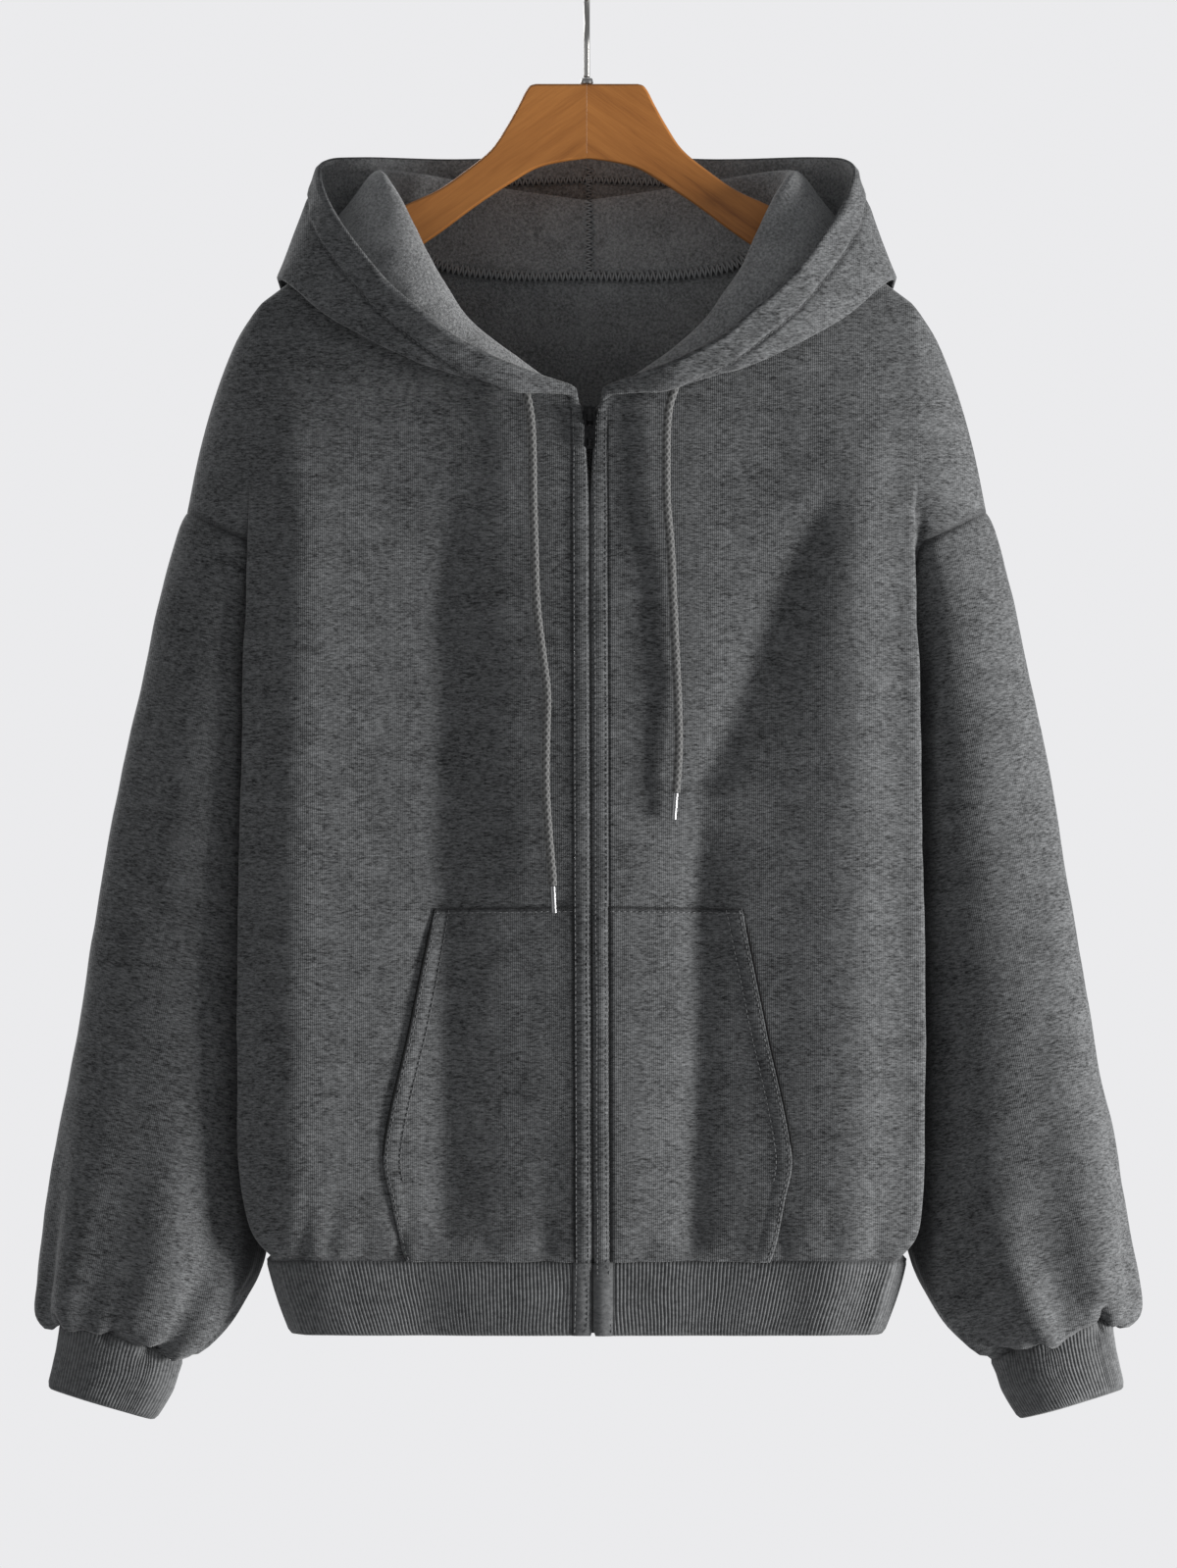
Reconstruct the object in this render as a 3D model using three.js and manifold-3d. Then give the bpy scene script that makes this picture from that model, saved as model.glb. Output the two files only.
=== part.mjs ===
// A zip-up hoodie in brushed-back sweatshirt cloth, hung on a wooden hanger.
// Millimetres, +Z up. The front faces -Y and the wearer's left is +X.
// The origin is the inside top of the hook, where the hanger hangs.
//
// Every piece of cloth starts as a grid of points in the middle of its thickness. Pieces that are
// sewn together share the points of their seam, so their walls meet there with an even gap.
// In the tables, "out" is the distance from the middle line, "up" the height above the hanger's
// top (negative is lower) and "y" the depth.

import * as THREE from 'three';
import { mergeVertices } from 'three/addons/utils/BufferGeometryUtils.js';
import Module from 'manifold-3d';

// Driving dimensions
const HANGER_TOP = -75;
const CLOTH = 2.2;
const POCKET_CLOTH = 1.9;
const SEAM_GAP = 0.3;
const RIB_PITCH = 3.4;
const CUFF_RIB_PITCH = 3.1;
const RIB_HEIGHT = 0.9;
const BAND_BOTTOM_UP = -772;
const FACING_WIDTH = 11.5;
const FACING_SLOPE = 1.5;
const FACING_RAISE = 1.2;
const FACING_RAISE_ON_POCKET = 3.2;
const ZIP_TEETH_HALF = 2.3;
const CORD_DIAMETER = 5;
const TIP_DIAMETER = 3.6;
const TIP_LENGTH = 17;
const HANGER_THICKNESS = 13;
const HOOK_WIRE = 3.8;
const HOOK_INNER_RADIUS = 19;

const LEFT = 1;
const RIGHT = -1;

// Finishes
const finish = (color, roughness, metalness = 0) =>
  new THREE.MeshStandardMaterial({ color, roughness, metalness });
const clothFinish = () => finish(0x55585b, 0.95);
const ribFinish = () => finish(0x4d5053, 0.95);
const tapeFinish = () => finish(0x1d1e20, 0.8);
const darkMetalFinish = () => finish(0x17181a, 0.4, 0.8);
const cordFinish = () => finish(0x77797b, 0.9);
const steelFinish = () => finish(0xb9bbbd, 0.3, 1);
const woodFinish = () => finish(0xb0682f, 0.5);

// Small helpers
const mix = (a, b, t) => a + (b - a) * t;
const clamp01 = (t) => Math.min(1, Math.max(0, t));
const smooth = (t) => clamp01(t) ** 2 * (3 - 2 * clamp01(t));
const range = (n) => Array.from({ length: n }, (_, i) => i);
const spot = (out, up, y) => new THREE.Vector3(out, y, HANGER_TOP + up);
const between = (a, b, t) => a.clone().lerp(b, t);

function table(names, lines) {
  const keys = names.split(' ');
  return lines.map((line) => Object.fromEntries(keys.map((key, i) => [key, line[i]])));
}

// A table read at any value of its first column, as a smooth curve through its rows
function readTable(rows, key, at) {
  const last = rows.length - 1;
  const down = rows[last][key] < rows[0][key];
  let i = rows.findIndex((row) => (down ? row[key] <= at : row[key] >= at));
  i = Math.min(last, Math.max(1, i < 0 ? last : i));
  const [p, a, b, q] = [rows[Math.max(0, i - 2)], rows[i - 1], rows[i], rows[Math.min(last, i + 1)]];
  const t = clamp01((at - a[key]) / (b[key] - a[key]));
  const span = b[key] - a[key];
  const slope = (from, to, name) => ((to[name] - from[name]) / (to[key] - from[key])) * span;
  const value = (name) => {
    const [m0, m1] = [slope(p, b, name), slope(a, q, name)];
    const [t2, t3] = [t * t, t * t * t];
    return (2 * t3 - 3 * t2 + 1) * a[name] + (t3 - 2 * t2 + t) * m0
      + (3 * t2 - 2 * t3) * b[name] + (t3 - t2) * m1;
  };
  return Object.fromEntries(Object.keys(a).map((name) => [name, value(name)]));
}

// The left side of the garment stands at +X. The zip hangs a little to that side, and this
// carries the middle of the front with it.
function place(side, point) {
  const drift = mix(1.8, 4, clamp01(-(point.z - HANGER_TOP + 200) / 550));
  const share = clamp01(-point.y / 34) * clamp01(1 - Math.abs(point.x) / 150);
  return new THREE.Vector3(side * point.x + drift * share, point.y, point.z);
}
const placeGrid = (side, grid) => grid.map((row) => row.map((point) => place(side, point)));

// Fronts. Each row runs from the neck or zip edge, over the face, to the fold at the side, and
// then to the armhole or side seam: outward over the shoulder, and tucked back inward below it.
const FRONT_ROWS = table('inOut inUp inY foldOut foldUp foldY outOut outUp outY', [
  [118, -75, 0, 201, -137, 0, 246.5, -265, 9],
  [117.8, -77.2, -8.5, 202, -139.2, -8.5, 244.5, -266, 2],
  [113, -99, -19, 204, -163, -17, 238, -269, -8],
  [105, -119, -26, 204, -182, -21, 231, -272.5, -15],
  [92, -139, -31, 204, -203, -24, 223, -276, -20],
  [73, -158, -34.5, 204, -225, -26, 214, -280, -22.5],
  [42, -180, -37, 204, -248, -27.5, 207.5, -284, -20],
  [7.5, -198, -38.5, 204.5, -270, -28.5, 203, -295, -14],
  [3, -228, -39, 205, -293, -29, 197, -318, -7],
  [1, -262, -39.5, 205.5, -320, -29.5, 190, -348, -1],
  [1, -305, -40, 207, -354, -30, 180, -385, 2],
  [1, -355, -40.5, 208, -392, -30.5, 171, -425, 5],
  [1, -410, -41, 209, -434, -31, 162, -480, 8],
  [1, -462, -41, 210, -473, -31, 156, -508, 8],
  [1, -509, -41.5, 210.5, -512, -31, 152, -534, 8],
  [1, -547, -41.5, 211, -549, -31.5, 150, -562, 8],
  [1, -585, -41.5, 211.5, -586, -31.5, 149, -593, 8],
  [1, -623, -41.5, 211, -623, -31.5, 151, -627, 7.5],
  [1, -661, -41.5, 210.5, -661, -31, 158, -663, 7],
  [1, -690, -41, 208, -691, -30.5, 170, -692, 5],
  [1, -712, -39.5, 203, -712.5, -30, 183, -713, 2],
  [1, -727, -36, 190, -727, -25, 197, -727, 0],
]);
const NECK_ROW = 7;
const UNDERARM_ROW = 12;
const POCKET_TOP_ROW = 14;
const POCKET_KINK_ROW = 18;
const HEM_ROW = FRONT_ROWS.length - 1;
const POCKET_COLUMN = 5;
const WRAP_STEPS = 4;

// Where the pocket's outer edge lies along a row, and each side's own difference at the fold
const POCKET_EDGE = table('row out', [[14, 95], [16, 110], [18, 125.5], [19, 121], [21, 112]]);
const FOLD_LEAN = 3.5;

// Soft troughs that run down the fronts: the line they follow, how wide and how deep they are
const FRONT_TROUGHS = {
  [RIGHT]: table('topUp topOut endUp endOut width depth', [
    [-255, 88, -727, 84, 40, 7.5],
    [-560, 168, -727, 176, 16, 3],
    [-640, 22, -727, 30, 12, 2],
  ]),
  [LEFT]: table('topUp topOut endUp endOut width depth', [
    [-250, 150, -440, 66, 34, 5.5],
    [-440, 66, -727, 56, 30, 6.5],
    [-500, 172, -727, 168, 18, 3],
  ]),
};
const BACK_TROUGHS = table('topUp topOut endUp endOut width depth', [
  [-330, 20, -727, 40, 34, -6],
  [-280, 120, -727, 132, 36, -6.5],
]);

function troughDepth(troughs, out, up) {
  return troughs.reduce((sum, trough) => {
    const along = (up - trough.topUp) / (trough.endUp - trough.topUp);
    const line = mix(trough.topOut, trough.endOut, along);
    const ends = smooth(along / 0.25 + 0.35) * smooth((1 - along) / 0.08 + 0.25);
    const inside = along > -0.1 && along < 1.02 ? ends : 0;
    return sum + trough.depth * inside * Math.exp(-(((out - line) / trough.width) ** 2));
  }, 0);
}

function frontShares(row, i) {
  const width = row.foldOut - row.inOut;
  const facing = [0, FACING_WIDTH / width, (FACING_WIDTH + FACING_SLOPE) / width];
  const edgeOut = i < POCKET_TOP_ROW ? 95 : readTable(POCKET_EDGE, 'row', i).out;
  const edge = i < POCKET_TOP_ROW ? mix(0.5, 0.45, i / POCKET_TOP_ROW) : (edgeOut - row.inOut) / width;
  const toPocket = i === 0 ? [0.25, 0.375, 0.5] : [1, 2, 3].map((k) => mix(facing[2], edge, k / 3));
  const toFold = [1, 2, 3, 4].map((k) => mix(edge, 1, k / 4));
  return [...facing, ...toPocket, ...toFold];
}

// The cloth from the fold to the seam: a short turn behind the fold, and then in to the seam
const TURN = { out: 0.5, deep: 4.5 };
function wrapPoint(fold, outer, step) {
  const deeper = Math.sign(outer.y - fold.y);
  const turnZ = mix(fold.z, outer.z, 0.15);
  const turn = new THREE.Vector3(fold.x + TURN.out, fold.y + deeper * TURN.deep, turnZ);
  if (step === 0) return turn;
  const pulled = between(fold, outer, 0.5);
  pulled.x = mix(fold.x, outer.x, 0.62);
  pulled.y = mix(fold.y, outer.y, 0.3);
  return new THREE.QuadraticBezierCurve3(turn, pulled, outer).getPoint(step / (WRAP_STEPS - 1));
}

// The shoulder end, whose outline the hanger's tip gives
const SHOULDER_FOLD = spot(201, -137, 0);
const SHOULDER_END = spot(246.5, -265, 9);
const SHOULDER_LINE = [[214, -155, 2], [227.5, -188, 4.5], [238.5, -226, 7], [246.5, -265, 9]];

// A row's points from its fold to its seam. "shoulder" is the share that it takes from the
// shoulder's outline, and "tucked" the share that it takes from the way behind the fold.
function wrapRow(fold, outer, shoulder, tucked) {
  return range(WRAP_STEPS).map((k) => {
    const t = (k + 1) / WRAP_STEPS;
    const bulge = spot(...SHOULDER_LINE[k]).sub(between(SHOULDER_FOLD, SHOULDER_END, t));
    const capped = between(fold, outer, t).add(bulge.multiplyScalar(shoulder));
    return between(capped, wrapPoint(fold, outer, k), tucked);
  });
}

function frontGrid(side) {
  return FRONT_ROWS.map((row, i) => {
    const lean = -side * FOLD_LEAN * smooth((i - 2) / 6) * smooth((HEM_ROW - i) / 3);
    const inner = spot(row.inOut, row.inUp, row.inY);
    const fold = spot(row.foldOut + lean, row.foldUp, row.foldY);
    const outer = spot(row.outOut, row.outUp, row.outY);
    const face = frontShares(row, i).map((share) => {
      const point = between(inner, fold, share);
      point.y = mix(inner.y, fold.y, i === 0 ? share : share ** 2);
      const free = smooth(share / 0.2) * smooth((1 - share) / 0.2) * smooth(i / 6);
      point.y += free * troughDepth(FRONT_TROUGHS[side], point.x, point.z - HANGER_TOP);
      return point;
    });
    return [...face, ...wrapRow(fold, outer, (1 - Math.min(1, i / 7)) ** 1.5, smooth((i - 5) / 3))];
  });
}

// Back, as a half from the middle line to the armhole and side seam, then mirrored
const BACK_ROWS = table('midUp midY foldOut foldUp foldY outOut outUp outY', [
  [-118, 28, 201, -137, 0, 246.5, -265, 9],
  [-125, 29.5, 202, -139.2, 8.5, 244.5, -266, 15],
  [-142, 32.5, 204.5, -163, 20, 236, -270, 25],
  [-168, 35, 206, -193, 27, 226, -276, 30],
  [-205, 37.5, 207, -233, 32, 214, -285, 31],
  [-255, 39.5, 205, -283, 36, 204, -303, 27],
  [-315, 41, 203.5, -338, 38.5, 192, -345, 19],
  [-380, 42, 202, -398, 40, 177, -412, 15],
  [-440, 42.5, 201, -452, 40.5, 162, -480, 8],
  [-485, 43, 200, -490, 41, 156, -508, 8],
  [-517, 43, 200, -520, 41, 152, -534, 8],
  [-550, 43, 200, -552, 41, 150, -562, 8],
  [-586, 43, 200.5, -587, 41, 149, -593, 8],
  [-623, 43, 201, -624, 41, 151, -627, 7.5],
  [-661, 43, 202, -661, 40.5, 158, -663, 7],
  [-690, 42.5, 202, -691, 39, 170, -692, 5],
  [-712, 40.5, 199, -712.5, 36, 183, -713, 2],
  [-727, 34, 190, -727, 25, 197, -727, 0],
]);
const BACK_UNDERARM_ROW = 8;
const BACK_NECK = [[0, -118, 28], [55, -117.5, 26.5], [98, -108, 19], [117.5, -75.3, 9], [118, -75, 0]];
const BACK_NECK_STEPS = BACK_NECK.length - 1;
const NECK_BACK = spot(0, -118, 28);
const NECK_SIDE = spot(118, -75, 0);
const SHOULDER_STEPS = 4;
// How far each back row follows the first one, in height and in depth
const BACK_FOLLOW_UP = [1, 1, 0.8, 0.55, 0.3, 0.12];
const BACK_FOLLOW_DEPTH = [1, 0.73, 0.5, 0.3, 0.15, 0.05];

function backHalf() {
  const neckEnd = NECK_SIDE.x / SHOULDER_FOLD.x;
  const shares = [
    ...range(BACK_NECK_STEPS + 1).map((k) => (k / BACK_NECK_STEPS) * neckEnd),
    ...range(SHOULDER_STEPS).map((k) => mix(neckEnd, 1, (k + 1) / SHOULDER_STEPS)),
  ];
  return BACK_ROWS.map((row, i) => {
    const middle = spot(0, row.midUp, row.midY);
    const fold = spot(row.foldOut, row.foldUp, row.foldY);
    const outer = spot(row.outOut, row.outUp, row.outY);
    const face = shares.map((share, j) => {
      const point = between(middle, fold, share);
      point.y = mix(middle.y, fold.y, share ** 2.5);
      const free = smooth((1 - share) / 0.2) * smooth(i / 5);
      point.y += free * troughDepth(BACK_TROUGHS, point.x, point.z - HANGER_TOP);
      const sewn = j <= BACK_NECK_STEPS
        ? spot(...BACK_NECK[j])
        : between(NECK_SIDE, SHOULDER_FOLD, (j - BACK_NECK_STEPS) / SHOULDER_STEPS);
      const first = between(NECK_BACK, SHOULDER_FOLD, share);
      first.y = mix(NECK_BACK.y, SHOULDER_FOLD.y, share ** 2.5);
      const [rise, depth] = [BACK_FOLLOW_UP[i] ?? 0, BACK_FOLLOW_DEPTH[i] ?? 0];
      return point.add(sewn.sub(first).multiply(new THREE.Vector3(rise, depth, rise)));
    });
    return [...face, ...wrapRow(fold, outer, (1 - Math.min(1, i / 5)) ** 1.5, smooth((i - 3) / 3))];
  });
}

// Sleeves. Each ring lies between an outer and an inner point, with its depth to the front and
// the back of y. "thin" narrows the side that is tucked behind the body's fold.
const SLEEVE_RINGS = table('outOut outUp inOut inUp y front back thin', [
  [246.5, -265, 162, -480, 8.5, 26, 24, 0.6],
  [252, -277, 162.5, -490, 8, 30, 28, 0.72],
  [260.5, -307, 165, -505, 8, 34, 33, 0.78],
  [269, -347, 168.5, -527, 8, 37, 36, 0.8],
  [278.5, -391, 173, -552, 8, 39, 38, 0.8],
  [288, -436, 178, -580, 8, 40, 39, 0.78],
  [296, -482, 182.5, -608, 8, 40, 39, 0.74],
  [304, -525, 187, -636, 7.5, 40, 39, 0.66],
  [311, -567, 191, -662, 7.5, 40, 39, 0.56],
  [318, -609, 194, -684, 7.5, 40, 39, 0.46],
  [326, -647, 197, -702, 7, 41, 40, 0.36],
  [331.5, -684, 200, -718, 7, 41, 41, 0.25],
  [335.5, -715, 204, -733, 6.5, 41, 41, 0.2],
  [338, -738, 211, -747, 6, 40, 40, 0.1],
  [337.5, -752, 221, -762, 5.5, 36, 36, 0],
  [331.5, -761, 235, -777, 5, 31, 31, 0],
  [324, -763, 251, -789, 5, 24, 24, 0],
]);
const GATHERS = 7;
const GATHER_DEPTH = [0, 0, 0, 0, 0, 0, 0, 0, 0, 0.6, 1.2, 1.8, 2.6, 3.4, 3.4, 2, 0];

function ringPoint(ring, angle) {
  const share = (1 + Math.cos(angle)) / 2;
  const depth = Math.sin(angle) > 0 ? ring.front : ring.back;
  const y = ring.y - depth * Math.sin(angle) * (1 - ring.thin * (1 - share) ** 1.5);
  return spot(mix(ring.inOut, ring.outOut, share), mix(ring.inUp, ring.outUp, share), y);
}

// The armhole as a loop: down the front from the shoulder end to the underarm, and up the back
function armholeLoop(front, back) {
  const lastFront = front[0].length - 1;
  const lastBack = back[0].length - 1;
  const down = range(UNDERARM_ROW + 1).map((i) => front[i][lastFront]);
  const climb = range(BACK_UNDERARM_ROW - 1).map((i) => back[BACK_UNDERARM_ROW - 1 - i][lastBack]);
  return [...down, ...climb];
}

function loopAngles(loop) {
  const step = (i) => loop[i].distanceTo(loop[(i + 1) % loop.length]);
  const length = (from, to) => range(to - from).reduce((sum, k) => sum + step(from + k), 0);
  const half = UNDERARM_ROW;
  return loop.map((_, i) => (i <= half
    ? (Math.PI * length(0, i)) / length(0, half)
    : Math.PI + (Math.PI * length(half, i)) / length(half, loop.length)));
}

const evenAnglesOf = (loop) => loop.map((_, i) => (i <= UNDERARM_ROW
  ? (Math.PI * i) / UNDERARM_ROW
  : Math.PI * (1 + (i - UNDERARM_ROW) / (loop.length - UNDERARM_ROW))));

function sleeveGrid(front, back) {
  const loop = armholeLoop(front, back);
  const sewnAngles = loopAngles(loop);
  const evenAngles = evenAnglesOf(loop);
  return SLEEVE_RINGS.map((ring, k) => loop.map((sewn, i) => {
    const angle = mix(sewnAngles[i], evenAngles[i], Math.min(1, k / 6));
    const point = ringPoint(ring, angle);
    const pull = (1 - Math.min(1, k / 6)) ** 1.6;
    point.add(sewn.clone().sub(ringPoint(SLEEVE_RINGS[0], sewnAngles[i])).multiplyScalar(pull));
    const centre = between(spot(ring.outOut, ring.outUp, ring.y), spot(ring.inOut, ring.inUp, ring.y), 0.5);
    const outward = point.clone().sub(centre).normalize();
    return point.add(outward.multiplyScalar(GATHER_DEPTH[k] * Math.cos(GATHERS * angle + 0.6)));
  }));
}

// Cuffs, which go on from the sleeve's last ring
const CUFF_RINGS = table('outOut outUp inOut inUp y front back thin', [
  [325.5, -784, 258, -807, 5, 22.5, 22.5, 0],
  [331.5, -806, 268, -825, 5, 21.5, 21.5, 0],
]);

function cuffGrid(sleeve) {
  const top = sleeve[sleeve.length - 1];
  const angles = evenAnglesOf(top);
  return [top, ...CUFF_RINGS.map((ring) => angles.map((angle) => ringPoint(ring, angle)))];
}

// Hood. At each station along the neck seam the cloth rises from the neck to a roll, falls into
// the hollow, turns at the outer fold and rises to its hemmed edge. The first eight stations are
// the front rows from the zip to the shoulder, and the last four go along the back of the neck.
const HOOD_COLUMNS = 'rollOut rollUp rollY dipOut dipUp dipY foldOut foldUp foldY edgeOut edgeUp edgeY';
const HOOD_STATIONS = table(HOOD_COLUMNS, [
  [8, -196, -40, 8.3, -194.5, -41.3, 8.6, -192.5, -42.6, 9, -189, -44],
  [44, -171, -42.5, 46, -178, -48.5, 47, -189.5, -51.5, 46, -176, -58],
  [73, -147, -41, 80, -160, -50, 88, -179, -52, 80, -159.5, -62],
  [87, -127, -38, 98, -142, -49, 113, -170, -50, 101, -143.5, -61],
  [97, -110, -33, 112, -125, -45, 138, -157, -43, 121, -127, -57],
  [105, -93, -26, 126, -107, -37, 160, -144, -33, 138, -107, -49],
  [115, -72, -17, 138, -92, -24, 180, -127, -19.5, 153, -86, -34],
  [125, -57, -6, 147, -82, -6, 190, -121, -1, 163, -66, -14],
  [127, -53, 11, 146, -76, 14, 188.5, -133, 20, 164, -49, 10],
  [106, -53.5, 23, 118, -84, 33, 165, -225, 40, 141, -45, 34],
  [55, -62, 31, 62, -96, 40, 90, -295, 51, 76, -45.5, 51],
  [0, -70, 34, 0, -102, 42, 0, -314, 54, 0, -47, 57],
]);
const HOOD_STEPS = [2, 2, 3, 1, 1, 4];
const HOOD_HEM = 1.2;

function hoodGrid(front, back) {
  const neck = [...range(NECK_ROW + 1).map((i) => front[NECK_ROW - i][0])];
  range(BACK_NECK_STEPS).forEach((k) => neck.push(back[0][BACK_NECK_STEPS - 1 - k]));
  const rows = HOOD_STATIONS.map((station, i) => ({ at: i, ...station }));
  return range(2 * (neck.length - 1) + 1).map((k) => {
    const s = readTable(rows, 'at', k / 2);
    const sewn = k % 2 ? between(neck[(k - 1) / 2], neck[(k + 1) / 2], 0.5) : neck[k / 2];
    const roll = spot(s.rollOut, s.rollUp, s.rollY);
    const dip = spot(s.dipOut, s.dipUp, s.dipY);
    const fold = spot(s.foldOut, s.foldUp, s.foldY);
    const edge = spot(s.edgeOut, s.edgeUp, s.edgeY);
    const half = (a) => Math.min(0.3, 9 / a.distanceTo(fold));
    const apart = edge.clone().sub(dip).projectOnVector(new THREE.Vector3(0, 1, 0)).multiplyScalar(0.35);
    const before = between(fold, dip, half(dip)).sub(apart.clone().multiplyScalar(0.3));
    const after = between(fold, edge, half(edge)).add(apart.clone().multiplyScalar(0.3));
    const knots = [sewn, roll, dip, before, fold, after, edge];
    const curve = new THREE.CatmullRomCurve3(knots, false, 'centripetal');
    const spans = HOOD_STEPS.flatMap((n, span) => range(n).map((step) => span + step / n));
    return [...spans, HOOD_STEPS.length].map((at) => curve.getPoint(at / HOOD_STEPS.length));
  });
}

// Normals of a grid, pointing to the given direction at one of its points
function gridNormals(grid, closed, probe, direction) {
  const [rows, cols] = [grid.length, grid[0].length];
  const at = (i, j) => grid[i][closed ? (j + cols) % cols : Math.min(cols - 1, Math.max(0, j))];
  const normals = grid.map((row, i) => row.map((_, j) => {
    const alongRow = at(i, j + 1).clone().sub(at(i, j - 1));
    const downRows = at(Math.min(rows - 1, i + 1), j).clone().sub(at(Math.max(0, i - 1), j));
    return alongRow.cross(downRows).normalize();
  }));
  const sign = Math.sign(normals[probe[0]][probe[1]].dot(direction));
  normals.forEach((row) => row.forEach((normal) => normal.multiplyScalar(sign)));
  return normals;
}

// Where seams join, every piece uses the mean of their normals
function shareSeamNormals(pieces) {
  const key = (p) => [p.x, p.y, p.z].map((v) => Math.round(v * 50)).join(' ');
  const sums = new Map();
  const each = (visit) => pieces.forEach(({ grid, normals, seams }) => seams.forEach(([i, j]) =>
    visit(key(grid[i][j]), normals[i][j])));
  each((id, normal) => sums.set(id, (sums.get(id) ?? new THREE.Vector3()).add(normal)));
  each((id, normal) => normal.copy(sums.get(id)).normalize());
}

// All the places on the rim of a grid
function rimOf(grid, closed) {
  const [rows, cols] = [grid.length, grid[0].length];
  const ends = range(cols).flatMap((j) => [[0, j], [rows - 1, j]]);
  const sides = closed ? [] : range(rows - 2).flatMap((i) => [[i + 1, 0], [i + 1, cols - 1]]);
  return [...ends, ...sides];
}

// The grid with its rim drawn back by half the seam gap
function drawnBack(grid, closed) {
  const [rows, cols] = [grid.length, grid[0].length];
  const step = (from, to) => to.clone().sub(from).setLength(SEAM_GAP / 2);
  return grid.map((row, i) => row.map((point, j) => {
    const moved = point.clone();
    if (i === 0) moved.add(step(point, grid[1][j]));
    if (i === rows - 1) moved.add(step(point, grid[rows - 2][j]));
    if (!closed && j === 0) moved.add(step(point, row[1]));
    if (!closed && j === cols - 1) moved.add(step(point, row[cols - 2]));
    return moved;
  }));
}

function solidFrom(points, triangles) {
  const volume = triangles.reduce((sum, [a, b, c]) =>
    sum + points[a].dot(new THREE.Vector3().crossVectors(points[b], points[c])), 0);
  const faces = volume > 0 ? triangles : triangles.map(([a, b, c]) => [a, c, b]);
  const geometry = new THREE.BufferGeometry();
  geometry.setAttribute('position', new THREE.Float32BufferAttribute(points.flatMap((p) => p.toArray()), 3));
  geometry.setIndex(faces.flat());
  geometry.computeVertexNormals();
  return geometry;
}

// A closed wall of cloth about a grid. "raise" adds to its outer side at a place of the grid.
function wall({ grid, normals, closed = false, thickness = CLOTH, raise = () => 0 }) {
  const middle = drawnBack(grid, closed);
  const [rows, cols] = [grid.length, grid[0].length];
  const points = [];
  const layer = (offset) => middle.forEach((row, i) => row.forEach((point, j) =>
    points.push(point.clone().addScaledVector(normals[i][j], offset(i, j)))));
  layer((i, j) => thickness / 2 + raise(i, j));
  layer(() => -thickness / 2);
  const outer = (i, j) => i * cols + (j % cols);
  const inner = (i, j) => rows * cols + outer(i, j);
  const triangles = [];
  const quad = (a, b, c, d) => triangles.push([a, b, c], [a, c, d]);
  const spans = closed ? cols : cols - 1;
  range(rows - 1).forEach((i) => range(spans).forEach((j) => {
    const next = (j + 1) % cols;
    const falling = grid[i][j].distanceTo(grid[i + 1][next]) <= grid[i][next].distanceTo(grid[i + 1][j]);
    const [a, b, c, d] = falling
      ? [[i, j], [i, j + 1], [i + 1, j + 1], [i + 1, j]]
      : [[i, j + 1], [i + 1, j + 1], [i + 1, j], [i, j]];
    quad(outer(...a), outer(...b), outer(...c), outer(...d));
    quad(inner(...a), inner(...d), inner(...c), inner(...b));
  }));
  range(spans).forEach((j) => {
    quad(outer(0, j), inner(0, j), inner(0, j + 1), outer(0, j + 1));
    quad(outer(rows - 1, j), outer(rows - 1, j + 1), inner(rows - 1, j + 1), inner(rows - 1, j));
  });
  if (!closed) {
    range(rows - 1).forEach((i) => {
      quad(outer(i, 0), outer(i + 1, 0), inner(i + 1, 0), inner(i, 0));
      quad(outer(i, cols - 1), inner(i, cols - 1), inner(i + 1, cols - 1), outer(i + 1, cols - 1));
    });
  }
  return solidFrom(points, triangles);
}

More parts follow.
